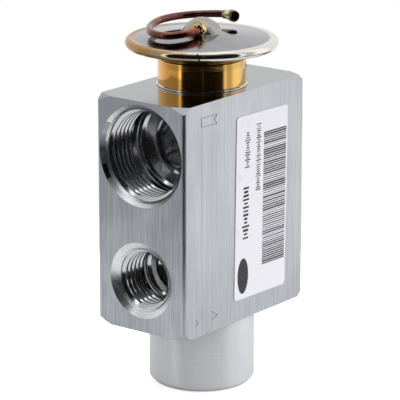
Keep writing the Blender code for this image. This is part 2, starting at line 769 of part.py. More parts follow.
def round_wire(name, points, radius, material, parent, resolution=2):
    """A round bar along a list of points, with closed ends."""
    curve = bpy.data.curves.new(name, "CURVE")
    curve.dimensions = "3D"
    curve.bevel_depth = radius
    curve.bevel_resolution = resolution
    curve.use_fill_caps = True
    spline = curve.splines.new("POLY")
    spline.points.add(len(points) - 1)
    for knot, point in zip(spline.points, points):
        knot.co = (*point, 1)
    curve.materials.append(material)
    obj = bpy.data.objects.new(name, curve)
    bpy.context.collection.objects.link(obj)
    obj.parent = parent
    return obj


def charge_tube(material, parent):
    """The copper tube through which the head was charged."""
    route = tube_route()
    end, _ = along_route(route, FERRULE_MOUTH_DEPTH + 2 * PRESS_GAP)
    covered = FERRULE_MOUTH_DEPTH + 4 * PRESS_GAP
    inside = [point for point in route if (route[-1] - point).length > covered]
    return round_wire("charge_tube", [*inside, end], TUBE_RADIUS, material, parent)


def along_route(route, distance):
    """Point at a distance back from the end of the route, and the route's heading there."""
    end = route[-1]
    for start in reversed(route[:-1]):
        length = (end - start).length
        if distance <= length:
            return end + (start - end) * distance / length, (end - start).normalized()
        distance -= length
        end = start
    return route[0], (route[1] - route[0]).normalized()


def tube_ferrule(material, parent):
    """The flared collar that follows the tube to its free end, with its open mouth."""
    bore = TUBE_RADIUS + PRESS_GAP
    flare = FERRULE_LENGTH - FERRULE_WAIST_LENGTH - FERRULE_TAPER_LENGTH
    inside = FERRULE_MOUTH_DEPTH + PRESS_GAP
    stride = (FERRULE_LENGTH - inside) / FERRULE_BORE_STEPS
    reaches = [inside + stride * n for n in range(FERRULE_BORE_STEPS + 1)]
    outline = [
        *[(bore, reach) for reach in reaches],
        (FERRULE_WAIST_RADIUS, FERRULE_LENGTH),
        (FERRULE_WAIST_RADIUS, FERRULE_LENGTH - FERRULE_WAIST_LENGTH),
        (FERRULE_RADIUS, flare),
        (FERRULE_RADIUS, FERRULE_CHAMFER),
        (FERRULE_RADIUS - FERRULE_CHAMFER, 0),
        (FERRULE_MOUTH_RADIUS, 0),
        (FERRULE_MOUTH_RADIUS, FERRULE_MOUTH_DEPTH),
    ]
    shape = lathe(outline, SMALL, ring=True)
    route = tube_route()
    for corner in shape.verts:
        centre, heading = along_route(route, corner.co.z)
        side = heading.cross(Vector((0, 0, 1))).normalized()
        corner.co = centre + side * corner.co.x + side.cross(heading) * corner.co.y
    return add_mesh("tube_ferrule", shape, material, parent)


def diaphragm_pad(material, parent):
    """The pad under the diaphragm, with the stem that the neck guides."""
    stem = NECK_BORE_RADIUS - RUNNING_GAP
    socket = ROD_RADIUS + RUNNING_GAP
    total = PAD_STEM_LENGTH + PAD_THICKNESS
    outline = [
        (0, PAD_SOCKET_DEPTH),
        (socket, PAD_SOCKET_DEPTH),
        (socket, 0),
        (stem - PAD_CHAMFER, 0),
        (stem, PAD_CHAMFER),
        (stem, PAD_STEM_LENGTH),
        (PAD_RADIUS, PAD_STEM_LENGTH),
        (PAD_RADIUS, total - PAD_CHAMFER),
        (PAD_RADIUS - PAD_CHAMFER, total),
        (0, total),
    ]
    return add_mesh("diaphragm_pad", lathe(outline, MEDIUM), material, parent, standing(PAD_STEM_Z))


def push_rod(material, parent):
    """The rod from the pad to the ball, with a thin tip that passes through the orifice."""
    tip = OUTLET_CHAMBER_TOP - ROD_BOTTOM
    total = ROD_TOP - ROD_BOTTOM
    outline = [
        (0, 0),
        (ROD_TIP_RADIUS, 0),
        (ROD_TIP_RADIUS, tip - ROD_TIP_TAPER),
        (ROD_RADIUS, tip),
        (ROD_RADIUS, total - PAD_CHAMFER),
        (ROD_RADIUS - PAD_CHAMFER, total),
        (0, total),
    ]
    return add_mesh("push_rod", lathe(outline, SMALL), material, parent, standing(ROD_BOTTOM))


def rod_washer(material, parent):
    """The washer that holds the rod's seal down in its pocket."""
    inner = ROD_RADIUS + WASHER_RADIAL_GAP
    outer = ROD_SEAL_POCKET_RADIUS - SEAT_GAP
    outline = [(inner, 0), (outer, 0), (outer, WASHER_THICKNESS), (inner, WASHER_THICKNESS)]
    z = SEAL_POCKET_FLOOR + 2 * ROD_SEAL_SECTION + 2 * ROD_SEAL_FLOOR_GAP
    return add_mesh("rod_seal_washer", lathe(outline, SMALL, ring=True), material, parent, standing(z))


def valve_ball(material, parent):
    """The ball that closes the orifice."""
    shape = bmesh.new()
    bmesh.ops.create_uvsphere(shape, u_segments=SMALL, v_segments=SMALL // 2, radius=BALL_RADIUS)
    return add_mesh("valve_ball", shape, material, parent, standing(BALL_Z))


def ball_carrier(material, parent):
    """The cup that holds the ball and stands on the spring."""
    locator = -LOCATOR_LENGTH
    cup_height = CARRIER_TOP - CARRIER_FLANGE_Z
    apex = CUP_APEX - CARRIER_FLANGE_Z
    outline = [
        (0, locator),
        (LOCATOR_RADIUS, locator),
        (LOCATOR_RADIUS, 0),
        (CARRIER_RADIUS, 0),
        (CARRIER_RADIUS, CARRIER_FLANGE),
        (CARRIER_RADIUS - CARRIER_FLANGE / 2, cup_height),
        (cup_height - apex, cup_height),
        (CARRIER_CUP_FLAT, apex + CARRIER_CUP_FLAT),
        (0, apex + CARRIER_CUP_FLAT),
    ]
    return add_mesh("ball_carrier", lathe(outline, COARSE), material, parent, standing(CARRIER_FLANGE_Z))


def damping_ring(material, parent):
    """The spring-steel ring whose fingers rub on the chamber wall and steady the ball."""
    shape = bmesh.new()
    hoops = []
    for radius in (DAMPER_INNER_RADIUS, CARRIER_RADIUS):
        hoop = []
        for step in range(DAMPER_FACETS):
            angle = math.tau * step / DAMPER_FACETS
            hoop.append(shape.verts.new((radius * math.cos(angle), radius * math.sin(angle), 0)))
        hoops.append(hoop)
    for step in range(DAMPER_FACETS):
        following = (step + 1) % DAMPER_FACETS
        shape.faces.new((hoops[0][step], hoops[1][step], hoops[1][following], hoops[0][following]))
    wall = CHAMBER_RADIUS - RUNNING_GAP - DAMPER_THICKNESS
    bends = ((wall - DAMPER_BEND, -DAMPER_BEND), (wall, -DAMPER_FINGER_LENGTH))
    for finger in range(DAMPER_FINGERS):
        middle = DAMPER_FIRST_FINGER + math.tau * finger / DAMPER_FINGERS
        first = round(middle / math.tau * DAMPER_FACETS) - DAMPER_FINGER_FACETS // 2
        edge = [hoops[1][(first + n) % DAMPER_FACETS] for n in range(DAMPER_FINGER_FACETS + 1)]
        for radius, height in bends:
            following = []
            for corner in edge:
                angle = math.atan2(corner.co.y, corner.co.x)
                bent = (radius * math.cos(angle), radius * math.sin(angle), height)
                following.append(shape.verts.new(bent))
            for n in range(DAMPER_FINGER_FACETS):
                shape.faces.new((edge[n], following[n], following[n + 1], edge[n + 1]))
            edge = following
    ring = add_mesh("damping_ring", shape, material, parent, standing(DAMPER_Z))
    sheet = ring.modifiers.new("sheet", "SOLIDIFY")
    sheet.thickness = DAMPER_THICKNESS
    sheet.offset = 1
    return ring


def superheat_spring(material, parent):
    """The coil spring between its seat and the ball's carrier, with closed ends."""
    low = SPRING_BOTTOM + SPRING_WIRE / 2
    high = SPRING_TOP - SPRING_WIRE / 2
    closed = SPRING_CLOSED_TURNS
    turns = SPRING_ACTIVE_TURNS + 2 * closed
    closed_rise = SPRING_CLOSED_PITCH * closed
    points = []
    for step in range(turns * SPRING_STEPS_PER_TURN + 1):
        turn = step / SPRING_STEPS_PER_TURN
        if turn <= closed:
            z = low + SPRING_CLOSED_PITCH * turn
        elif turn >= turns - closed:
            z = high - SPRING_CLOSED_PITCH * (turns - turn)
        else:
            share = (turn - closed) / SPRING_ACTIVE_TURNS
            z = low + closed_rise + (high - low - 2 * closed_rise) * share
        angle = math.tau * turn
        points.append((SPRING_RADIUS * math.cos(angle), SPRING_RADIUS * math.sin(angle), z))
    return round_wire("superheat_spring", points, SPRING_WIRE / 2, material, parent)


def spring_seat(material, parent):
    """The disc that the spring stands on, pushed up by the adjusting screw."""
    outline = [
        (0, 0),
        (SPRING_SEAT_RADIUS, 0),
        (SPRING_SEAT_RADIUS, SPRING_SEAT_THICKNESS),
        (LOCATOR_RADIUS, SPRING_SEAT_THICKNESS),
        (LOCATOR_RADIUS, SPRING_SEAT_THICKNESS + LOCATOR_LENGTH),
        (0, SPRING_SEAT_THICKNESS + LOCATOR_LENGTH),
    ]
    return add_mesh("spring_seat", lathe(outline, COARSE), material, parent, standing(SPRING_SEAT_Z))


def adjusting_screw(material, parent):
    """The screw that sets the superheat, with a hexagon socket in its lower end."""
    groove_top = SCREW_GROOVE_RISE + SCREW_GROOVE_WIDTH
    outline = [
        (0, 0),
        (SCREW_THREAD_RADIUS - SCREW_CHAMFER, 0),
        (SCREW_THREAD_RADIUS, SCREW_CHAMFER),
        (SCREW_THREAD_RADIUS, SCREW_THREAD_LENGTH - SCREW_CHAMFER),
        (SCREW_BODY_RADIUS, SCREW_THREAD_LENGTH),
        (SCREW_BODY_RADIUS, SCREW_GROOVE_RISE),
        (SCREW_GROOVE_RADIUS, SCREW_GROOVE_RISE),
        (SCREW_GROOVE_RADIUS, groove_top),
        (SCREW_BODY_RADIUS, groove_top),
        (SCREW_BODY_RADIUS, SCREW_LENGTH - SCREW_CHAMFER),
        (SCREW_BODY_RADIUS - SCREW_CHAMFER, SCREW_LENGTH),
        (0, SCREW_LENGTH),
    ]
    screw = add_mesh("adjusting_screw", lathe(outline, COARSE), material, parent, standing(SCREW_Z))
    key = KEY_ACROSS_FLATS / math.sqrt(3)
    socket = [(0, -CUT_OVERRUN), (key, -CUT_OVERRUN), (key, KEY_DEPTH), (0, KEY_DEPTH + key / 4)]
    boolean(screw, as_cutter(add_mesh("cut_key_socket", lathe(socket, 6), place=standing(SCREW_Z))))
    return screw


def main():
    """Build the whole valve."""
    clear_scene()
    aluminium = finish("machined_aluminium", (0.64, 0.65, 0.67), 0.34, 1.0)
    gilt = finish("yellow_passivated_steel", (0.72, 0.47, 0.13), 0.22, 1.0)
    steel = finish("polished_steel", (0.62, 0.63, 0.65), 0.16, 1.0)
    spring_steel = finish("spring_steel", (0.42, 0.42, 0.44), 0.30, 1.0)
    copper = finish("tarnished_copper", (0.25, 0.07, 0.04), 0.30, 1.0)
    solder = finish("brazing_metal", (0.72, 0.58, 0.30), 0.25, 1.0)
    rubber = finish("black_rubber", (0.02, 0.02, 0.02), 0.60, 0.0)
    paper = finish("label_paper", (0.90, 0.89, 0.93), 0.55, 0.0)
    brass = finish("turned_brass", (0.70, 0.50, 0.20), 0.30, 1.0)

    fixed = carriage("valve_axis")
    stroke = carriage("stroke_axis", fixed)
    seat = carriage("seat_axis", fixed)
    screw = carriage("screw_axis", seat)

    valve_body(aluminium, fixed)
    label(paper, fixed)
    head_neck(gilt, fixed)
    head_lower_shell(steel, fixed)
    diaphragm(spring_steel, fixed)
    head_upper_shell(steel, fixed)
    braze_fillet(solder, fixed)
    charge_tube(copper, fixed)
    tube_ferrule(solder, fixed)
    rod_washer(spring_steel, fixed)
    superheat_spring(spring_steel, fixed)

    neck_seal_inner = NECK_THREAD_RADIUS + 2 * SEAT_GAP
    neck_seal_z = BLOCK_TOP - NECK_SEAL_GROOVE_DEPTH / 2
    o_ring("neck_o_ring", neck_seal_inner, NECK_SEAL_SECTION, neck_seal_z, rubber, fixed)
    rod_seal_inner = ROD_RADIUS + SEAT_GAP + SKIN_GAP
    rod_seal_z = SEAL_POCKET_FLOOR + ROD_SEAL_SECTION + ROD_SEAL_FLOOR_GAP
    o_ring("rod_o_ring", rod_seal_inner, ROD_SEAL_SECTION, rod_seal_z, rubber, fixed)
    screw_seal_inner = SCREW_BODY_RADIUS + RUNNING_GAP - 2 * SCREW_SEAL_SECTION
    screw_seal_z = SCREW_Z + SCREW_GROOVE_RISE + SCREW_GROOVE_WIDTH / 2
    o_ring("screw_o_ring", screw_seal_inner, SCREW_SEAL_SECTION, screw_seal_z, rubber, screw)

    diaphragm_pad(brass, stroke)
    push_rod(steel, stroke)
    valve_ball(steel, stroke)
    ball_carrier(brass, stroke)
    damping_ring(spring_steel, stroke)

    spring_seat(brass, seat)
    adjusting_screw(brass, screw)


main()
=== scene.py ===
"""Looks of a block expansion valve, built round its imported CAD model.

Lengths are metres in the CAD model's frame. +Z runs up the valve's axis, -Y is the face with the
liquid inlet and the suction outlet, and +X is the face with the label.
"""

import math
from collections import namedtuple

import bmesh
import bpy
from mathutils import Matrix, Vector, noise


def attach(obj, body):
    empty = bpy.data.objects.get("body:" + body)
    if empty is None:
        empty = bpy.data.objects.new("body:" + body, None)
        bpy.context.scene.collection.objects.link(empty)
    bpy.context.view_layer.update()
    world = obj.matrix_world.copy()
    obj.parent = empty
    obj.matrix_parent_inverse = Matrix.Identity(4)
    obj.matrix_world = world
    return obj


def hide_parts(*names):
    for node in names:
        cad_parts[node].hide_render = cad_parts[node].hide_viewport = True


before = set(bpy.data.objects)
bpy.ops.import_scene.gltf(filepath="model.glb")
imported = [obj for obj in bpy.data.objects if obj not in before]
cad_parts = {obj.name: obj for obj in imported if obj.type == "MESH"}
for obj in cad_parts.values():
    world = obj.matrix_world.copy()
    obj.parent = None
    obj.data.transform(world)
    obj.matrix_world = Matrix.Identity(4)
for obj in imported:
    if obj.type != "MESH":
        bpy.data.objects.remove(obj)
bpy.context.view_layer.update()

# Facets round a full turn
ROUND_FACETS = 256
PORT_FACETS = 144
BORE_FACETS = 96
LUMP_FACETS = 64
SMALL_FACETS = 40
TUBE_FACETS = 28
KEY_SIDES = 6
FLOOR_FACETS = 128
CARD_FACETS = 64

# Edges sharper than this stay sharp, on machined pieces, on the tube and on the braze
SHARP_ANGLE = math.radians(34)
TUBE_SHARP_ANGLE = math.radians(50)
BRAZE_SHARP_ANGLE = math.radians(60)
MERGE_DISTANCE = 0.000001
NEAR_FLAT = MERGE_DISTANCE * 10
OVERRUN = 0.002
EDGE_BREAK = 0.00012
SMALL_CHAMFER = 0.0003
# A softened corner takes up at most one part in this many of the lines that meet in it
SOFTENED_PART = 2.5
FLAT_FACE_WEIGHT = 100

# Block and spring housing
BLOCK_HALF_WIDTH = 0.0131
BLOCK_HALF_DEPTH = 0.02345
BLOCK_BOTTOM = 0.0175
BLOCK_TOP = 0.0735
EDGE_FILLET = 0.0009
EDGE_FILLET_STEPS = 8
CORNER_TURN_DROP = 0.00176
BOSS_RADIUS = 0.01275
BOSS_CHAMFER = 0.00115
BLOCK_CORNER = math.hypot(BLOCK_HALF_WIDTH, BLOCK_HALF_DEPTH)
SUCTION_Z = 0.0603
INLET_Z = 0.0301
OUTLET_Z = 0.0370
OUTLET_BORE_Z = 0.0390
SUCTION_PASSAGE_RADIUS = 0.0070
LIQUID_BORE_RADIUS = 0.0030
DRILL_POINT_SLOPE = 0.6

# Bores on the valve's axis: radius, and the heights where they start and end
Bore = namedtuple("Bore", "radius start end")
THREAD_LEAD = Bore(0.00683, -OVERRUN, 0)
THREAD_LEAD_DEPTH = 0.0007
SCREW_BORE = Bore(0.00566, 0.0091, 0.0155)
SPRING_CHAMBER = Bore(0.0052, 0.0159, 0.0320)
BALL_SEAT_RADIUS = 0.0028
ORIFICE = Bore(0.0012, 0.0336, 0.0364)
OUTLET_ROOM = Bore(0.0030, 0.0364, 0.0422)
ROD_GUIDE = Bore(0.00158, 0.04362, 0.0475)
ROD_SEAL_POCKET = Bore(0.0032, 0.0475, 0.0553)
HEAD_WAY = Bore(0.0030, 0.0653, 0.0693)

# Drawing lines that the extrusion die left on the label's face: place across the face
DIE_LINES = (-0.0220, -0.0171, -0.0130, 0.0140, 0.0173)
DIE_LINE_WIDTH = 0.00020
DIE_LINE_DEPTH = 0.00004

# Flow arrow scribed on the label's face, as lines across and up the face
SCRIBED_LINES = (
    ((-0.01728, 0.07025), (-0.01121, 0.07009)),
    ((-0.01121, 0.07009), (-0.01228, 0.06904)),
    ((-0.01228, 0.06904), (-0.01121, 0.06794)),
    ((-0.01121, 0.06794), (-0.01709, 0.06808)),
    ((-0.01709, 0.06808), (-0.01728, 0.07025)),
    ((-0.01334, 0.02268), (-0.01096, 0.02117)),
    ((-0.01096, 0.02117), (-0.01322, 0.02046)),
    ((-0.01908, 0.02181), (-0.01858, 0.02096)),
    ((-0.01858, 0.02096), (-0.01919, 0.02048)),
)
SCRIBE_WIDTH = 0.00026
SCRIBE_DEPTH = 0.00010

# The body's finishes, in the order of its material slots, and what tells its faces apart: the
# upward share of a face's direction, and shares of the way out to the block's corners
BODY_FINISHES = ("label_side", "port_side", "end_face", "housing", "bore", "port_mouth", "scribed")
LEVEL_FACE = 0.6
TURNED_CORNER_FACE = (-0.98, -0.05)
TURNED_CORNER_START = BOSS_RADIUS * 1.5
DEEPEST_SCRIBED = SCRIBE_DEPTH * 1.5
END_FACE_SHARE = 0.9
CORNER_SHARE = 0.93

# A screwed connection: spot face, sealing cone, thread, relief, tube bore and step
Port = namedtuple(
    "Port",
    "spot_radius cone_radius cone_depth thread_radius minor_radius thread_end relief_end "
    "tube_radius tube_end step_radius step_end depth",
)
SUCTION_PORT = Port(
    spot_radius=0.0123,
    cone_radius=0.01146,
    cone_depth=0.0016,
    thread_radius=0.0110,
    minor_radius=0.0102,
    thread_end=0.0102,
    relief_end=0.0123,
    tube_radius=0.0100,
    tube_end=0.0142,
    step_radius=0.0082,
    step_end=0.0160,
    depth=0.0168,
)
LIQUID_PORT = Port(
    spot_radius=0.00925,
    cone_radius=0.00777,
    cone_depth=0.0014,
    thread_radius=0.0073,
    minor_radius=0.0064,
    thread_end=0.0089,
    relief_end=0.0103,
    tube_radius=0.0063,
    tube_end=0.0116,
    step_radius=0.0054,
    step_end=0.0126,
    depth=0.0134,
)
CONE_LINE_DEPTH = 0.00006
RELIEF_CLEARANCE = 0.0001
RELIEF_STEP = 0.0003
LEDGE_SLOPE_DEPTH = 0.00045

# A thread: where it starts and ends, the bore's radius there, its crests and its roots
Thread = namedtuple("Thread", "start end start_radius end_radius crest root pitch")
PORT_PITCH = 0.0015
SCREW_PITCH = 0.0010
THREAD_RUN_IN = 0.0005
# Shape of one turn: share of the pitch, and share of the way from crest to root there
THREAD_TURN = (
    (0.00, 0.00),
    (0.16, -0.02),
    (0.34, 0.00),
    (0.39, 0.08),
    (0.60, 0.90),
    (0.64, 1.00),
    (0.70, 1.00),
    (0.74, 0.90),
    (0.95, 0.08),
)

# Adjusting screw
SCREW_BOTTOM = 0.0034
SCREW_TOP = 0.0128
SCREW_THREAD_RADIUS = 0.0060
SCREW_ROOT_RADIUS = 0.0056
SCREW_THREAD_LENGTH = 0.0036
SCREW_THREAD_RUN_IN = 0.0004
SCREW_THREAD_RUN_OUT = 0.0002
SCREW_BODY_RADIUS = 0.0055
SCREW_GROOVE_RADIUS = 0.0044
SCREW_GROOVE_RISE = 0.0073
SCREW_GROOVE_WIDTH = 0.0013
KEY_CORNER_RADIUS = 0.0060 / math.sqrt(3)
KEY_DEPTH = 0.0040
KEY_POINT_DEPTH = 0.0009
KEY_LEAD_RADIUS = 0.0040
KEY_LEAD_FLOOR_RADIUS = 0.0030
KEY_LEAD_DEPTH = 0.0006
HOUSING_THREAD_START = 0.0008
HOUSING_THREAD_CREST = 0.00608
HOUSING_THREAD_ROOT = 0.0065
HOUSING_THREAD_END = 0.0087

# Head: neck, shells and dome
NECK_Z = 0.07355
NECK_HEIGHT = 0.00675
NECK_RADIUS = 0.01055
NECK_FOOT_RADIUS = 0.01085
NECK_FOOT_HEIGHT = 0.00035
NECK_BORE_RADIUS = 0.0046
NECK_THREAD_RADIUS = 0.0080
NECK_THREAD_BOTTOM = 0.0696
NECK_SPIGOT_RADIUS = 0.0079
NECK_SPIGOT_HEIGHT = 0.0011
NECK_SLOPE = 0.00015
NECK_EDGE_BREAK = 0.00008
NECK_LINES = 4
NECK_LINES_DROP = 0.0017
NECK_LINE_SPACING = 0.00032
NECK_LINE_DEPTH = 0.00004
NECK_LINE_HALF_WIDTH = 0.00006
NECK_SOCKET = Bore(NECK_THREAD_RADIUS + 0.00008, 0.0693, 0.0722)
NECK_SEAL_RECESS = Bore(NECK_SOCKET.radius + 0.0014, 0.0722, BLOCK_TOP + OVERRUN)
LOWER_SHELL_Z = 0.0804
LOWER_SHELL_RISE = 0.00273
LOWER_SHELL_WALL = 0.00065
LOWER_SHELL_FLAT_RADIUS = 0.0111
LOWER_SHELL_BEND = 0.0003
LOWER_SHELL_INSET = 0.0004
SHELL_CLEARANCE = 0.0001
FLANGE_RADIUS = 0.01757
HEM_CENTRE_RADIUS = 0.01707
HEM_Z = 0.08369
HEM_RADIUS = 0.0012
HEM_START = math.radians(112)
HEM_STEPS = 26
HEM_LIP_RADIUS = 0.01677
HEM_LIP_TOP = 0.08305
SEAM_SIZE = (0.0014, 0.00038, 0.0034)
SEAM_REACH = 0.00028
SEAM_SIDE = math.radians(2.6)
SEAM_SLANT = math.radians(16)
PLATE_EDGE_RADIUS = 0.01607
PLATE_EDGE_Z = 0.08469
PLATE_UNDERSIDE = 0.08409
PLATE_EDGE_CURVE = 0.0002
DOME_FOOT_Z = 0.08603
DOME_RADIUS = 0.00475
DOME_HEIGHT = 0.0035
DOME_SKIRT_REACH = 0.0012
DOME_SKIRT_DROP = 0.00014
DOME_SKIRT_CURVE = 0.0006
DOME_STEPS = 22
DOME_INSIDE_STEPS = 8
DOME_TRIM_STEPS = 24
SHELL_WALL = 0.0008

# Charge tube: its entry into the dome, then its loop, over the dome's foot, in mm
TUBE_RADIUS = 0.0009
TUBE_WAVES = 320.0
TUBE_UNEVENNESS = 0.03
TUBE_ENTRY_ANGLE = math.radians(-64)
TUBE_ENTRY_DEPTH = 0.0027
TUBE_ENTRY_HEIGHT = 0.0013
TUBE_SPAN_POINTS = 10
TUBE_LOOP_UNIT = 0.001
TUBE_LOOP = (
    (1.97, -4.04, 1.30),
    (2.26, -4.64, 1.29),
    (2.20, -5.70, 1.22),
    (1.70, -7.20, 1.10),
    (0.70, -9.10, 0.86),
    (-1.00, -10.8, 0.66),
    (-3.60, -11.4, 0.58),
    (-6.60, -10.5, 0.62),
    (-9.30, -8.20, 0.75),
    (-11.2, -5.20, 0.95),
    (-12.3, -1.60, 1.20),
    (-12.6, 2.00, 1.28),
    (-12.0, 5.60, 1.32),
    (-10.6, 8.60, 1.36),
    (-8.60, 11.0, 1.41),
    (-6.40, 12.8, 1.47),
    (-4.40, 13.8, 1.50),
    (-2.65, 14.0, 1.52),
    (-1.30, 13.6, 1.53),
    (-0.20, 13.1, 1.53),
)
FERRULE_LENGTH = 0.0040
FERRULE_RADIUS = 0.00145
FERRULE_WAIST_RADIUS = 0.00112
FERRULE_MOUTH_RADIUS = 0.00118
FERRULE_MOUTH_DEPTH = 0.0014
FERRULE_WAIST_LENGTH = 0.0006
FERRULE_CLEARANCE = 0.00008
FERRULE_REACHES = 12
FERRULE_CURVE = 0.00025
FERRULE_LIP_MARGIN = 0.0001
TUBE_END_GAP = 0.0002
# Outside of the ferrule's flare: how far in from its radius, and reach from its mouth
FERRULE_FLARE = ((0.00008, 0.0018), (0.00003, 0.0008), (0, 0.0004), (0, 0.0001), (0.0001, 0))
# Outline of the braze round the tube: radius, and reach from near the dome's skin
BRAZE_OUTLINE = (
    (0.00092, -0.0016),
    (0.00171, -0.0016),
    (0.0019, -0.0006),
    (0.001862, 0.0002),
    (0.00144, 0.000825),
    (0.0010, 0.0011),
    (0.00092, 0.00099),
)
BRAZE_SINK = 0.0003
BRAZE_CURVE = 0.0005
BRAZE_COLLAR = 0.00015
# Lumps in the braze: how many to a metre, and how far they push
BRAZE_LUMPS = ((1400, 0.00028), (4200, 0.00006))

# Label: its place on the face, and the fields of print on it, from its centre
LABEL_CENTRE = Vector((0.01327, 0.0061, 0.04505))
LABEL_TILT = math.radians(-1.1)
INK_THICKNESS = 0.000012
PrintField = namedtuple("PrintField", "name across up width height count least most narrowest seed")
PRINT_FIELDS = (
    PrintField("label_stripes", 0.00514, 0.00077, 0.0090, 0.0330, 62, 0.22, 0.85, 1.0, 5),
    PrintField("label_row_short", -0.00577, 0.01395, 0.0022, 0.0089, 15, 0.30, 0.62, 0.35, 11),
    PrintField("label_row_bold", -0.00615, -0.00142, 0.0029, 0.0132, 14, 0.40, 0.66, 0.35, 8),
    PrintField("label_row_long", -0.00145, 0.01155, 0.0022, 0.0166, 30, 0.30, 0.62, 0.35, 3),
)
SEAL_MARK = (-0.00695, -0.01684)
SEAL_MARK_HALF_WIDTH = 0.0021
SEAL_MARK_HALF_HEIGHT = 0.0044

# Camera, matched to the photograph: its place, whose third column points away from its view
CAMERA_BACK_X = 0.58928995
CAMERA_BACK_Y = -0.76192977
CAMERA_PLACE = Matrix(
    (
        (0.7910207, -0.16438859, CAMERA_BACK_X, 0.38220554),
        (0.61178939, 0.21254827, CAMERA_BACK_Y, -0.49489889),
        (0, 0.96322356, 0.26870128, 0.21914964),
        (0, 0, 0, 1),
    )
)
CAMERA_HEADING = math.atan2(CAMERA_BACK_Y, CAMERA_BACK_X)
CAMERA_LENS = 242.84
CAMERA_SENSOR = 36
CAMERA_CLIP_START = 0.01

# Studio: brightness round the horizon, by degrees to the right of the camera's own direction
STUDIO_BANDS = (
    (-180, 0.95),
    (-125, 0.92),
    (-100, 0.66),
    (-72, 0.58),
    (-63, 0.60),
    (-61.5, 1.80),
    (-57, 1.80),
    (-53.5, 0.012),
    (1.8, 0.008),
    (2.6, 0.12),
    (3.4, 0.008),
    (30, 0.008),
    (57, 0.02),
    (60, 1.05),
    (67, 1.05),
    (70, 0.58),
    (80, 0.62),
    (92, 1.22),
    (112, 1.22),
    (124, 0.95),
    (180, 0.95),
)
STUDIO_BRIGHTEST = 4.0
STUDIO_HAZE = 0.15
STUDIO_HAZE_EDGE = (0.56, 0.68)
STUDIO_SKIRT = (-0.42, -0.54)
STUDIO_SKIRT_SHADE = 0.22
STUDIO_BAND_TOP = (0.86, 0.94)
STUDIO_BAND_BOTTOM = (-0.72, -0.80)
STUDIO_ABOVE = 1.30
STUDIO_BELOW = 1.10
FLOOR_RADIUS = 0.11
FLOOR_DROP = 0.0001
FLOOR_SHADE = (0.8, 0.8, 0.8, 1)
FLOOR_LIFT = 0.6
CARD_RADIUS = 0.0140
CARD_GAP = 0.0030
LAMP_AIM = Vector((0, 0, 0.045))
LAMP_SIZE = 0.5
# Lamps: name, place and power
LAMPS = (
    ("lamp_right", (0.55, 0.20, 0.50), 2.0),
    ("lamp_front", (0.45, -0.55, 0.40), 2.2),
)

# Levels that noise seldom leaves, and the heights between which the port faces darken with painted
# shade
NOISE_RANGE = (0.3, 0.7)
PAINTED_SHADE_HEIGHTS = (0.025, 0.070)

# Finishes that wander between two colours: the noise, the levels where one colour has turned into
# the other, and the depth and strength of pits
Mottle = namedtuple("Mottle", "metallic roughness scale detail dark pale levels pits")
MOTTLES = {
    # Scribed arrow: darker than the face round it, which is painted shade in the grooves
    "scribed_mark": Mottle(1.0, 0.45, 3000, 2.0, (146, 148, 152), (184, 186, 190), None, None),
    "flowed_braze": Mottle(
        1.0, 0.20, 640, 2.0, (150, 118, 66), (238, 214, 160), (0.3, 0.62), (0.00003, 0.4)
    ),
    "black_rubber": Mottle(0.0, 0.60, 2400, 4.0, (22, 22, 23), (44, 44, 46), None, (0.00002, 0.4)),
    "printed_ink": Mottle(0.0, 0.42, 2600, 4.0, (18, 18, 20), (44, 44, 48), (0.35, 0.8), None),
    # Pressed plate under the head: dark grey, which is painted shade under the rim
    "painted_shade_plate": Mottle(1.0, 0.22, 420, 3.0, (70, 66, 62), (104, 98, 92), None, None),
    "pale_ferrule": Mottle(
        1.0, 0.24, 620, 2.0, (112, 98, 66), (228, 212, 168), (0.38, 0.6), (0.00002, 0.3)
    ),
    # Inside the ferrule's mouth: near black, which is painted shade in the hole
    "painted_shade_mouth": Mottle(0.0, 0.12, 1600, 3.0, (6, 6, 8), (24, 22, 26), None, (0.00004, 0.4)),
}


def arc(centre_x, centre_y, radius, start, end, steps):
    """Points of an arc from one angle to another."""
    angles = [start + (end - start) * step / steps for step in range(steps + 1)]
    return [(centre_x + radius * math.cos(a), centre_y + radius * math.sin(a)) for a in angles]


def softened(outline, radius=EDGE_BREAK, steps=3):
    """The same outline with a short curve in place of each corner."""
    points = [Vector(point) for point in outline]
    soft = [tuple(points[0])]
    for before, corner, after in zip(points, points[1:], points[2:]):
        room = min((before - corner).length, (after - corner).length) / SOFTENED_PART
        reach = min(radius, room)
        start = corner + (before - corner).normalized() * reach
        end = corner + (after - corner).normalized() * reach
        for step in range(steps + 1):
            share = step / steps
            near = start.lerp(corner, share)
            far = corner.lerp(end, share)
            soft.append(tuple(near.lerp(far, share)))
    soft.append(tuple(points[-1]))
    return soft


def hoop(shape, radius, height, facets):
    """A ring of corners round the axis, or one corner on it."""
    if radius <= 0:
        return [shape.verts.new((0, 0, height))]
    turns = [math.tau * n / facets for n in range(facets)]
    return [shape.verts.new((radius * math.cos(t), radius * math.sin(t), height)) for t in turns]


def skin(shape, lower, upper):
    """Faces between two hoops."""
    for n in range(max(len(lower), len(upper))):
        ring = [
            lower[n % len(lower)],
            lower[(n + 1) % len(lower)],
            upper[(n + 1) % len(upper)],
            upper[n % len(upper)],
        ]
        corners = list(dict.fromkeys(ring))
        if len(corners) > 2:
            shape.faces.new(corners)


def thread_radius(thread, height, share):
    """Radius of a thread there, which runs smoothly into the plain bore at both its ends."""
    radius = thread.crest + share * (thread.root - thread.crest)
    opening = max(1 - (height - thread.start) / THREAD_RUN_IN, 0)
    closing = max(1 - (thread.end - height) / THREAD_RUN_IN, 0)
    radius += opening * (thread.start_radius - radius)
    return radius + closing * (thread.end_radius - radius)


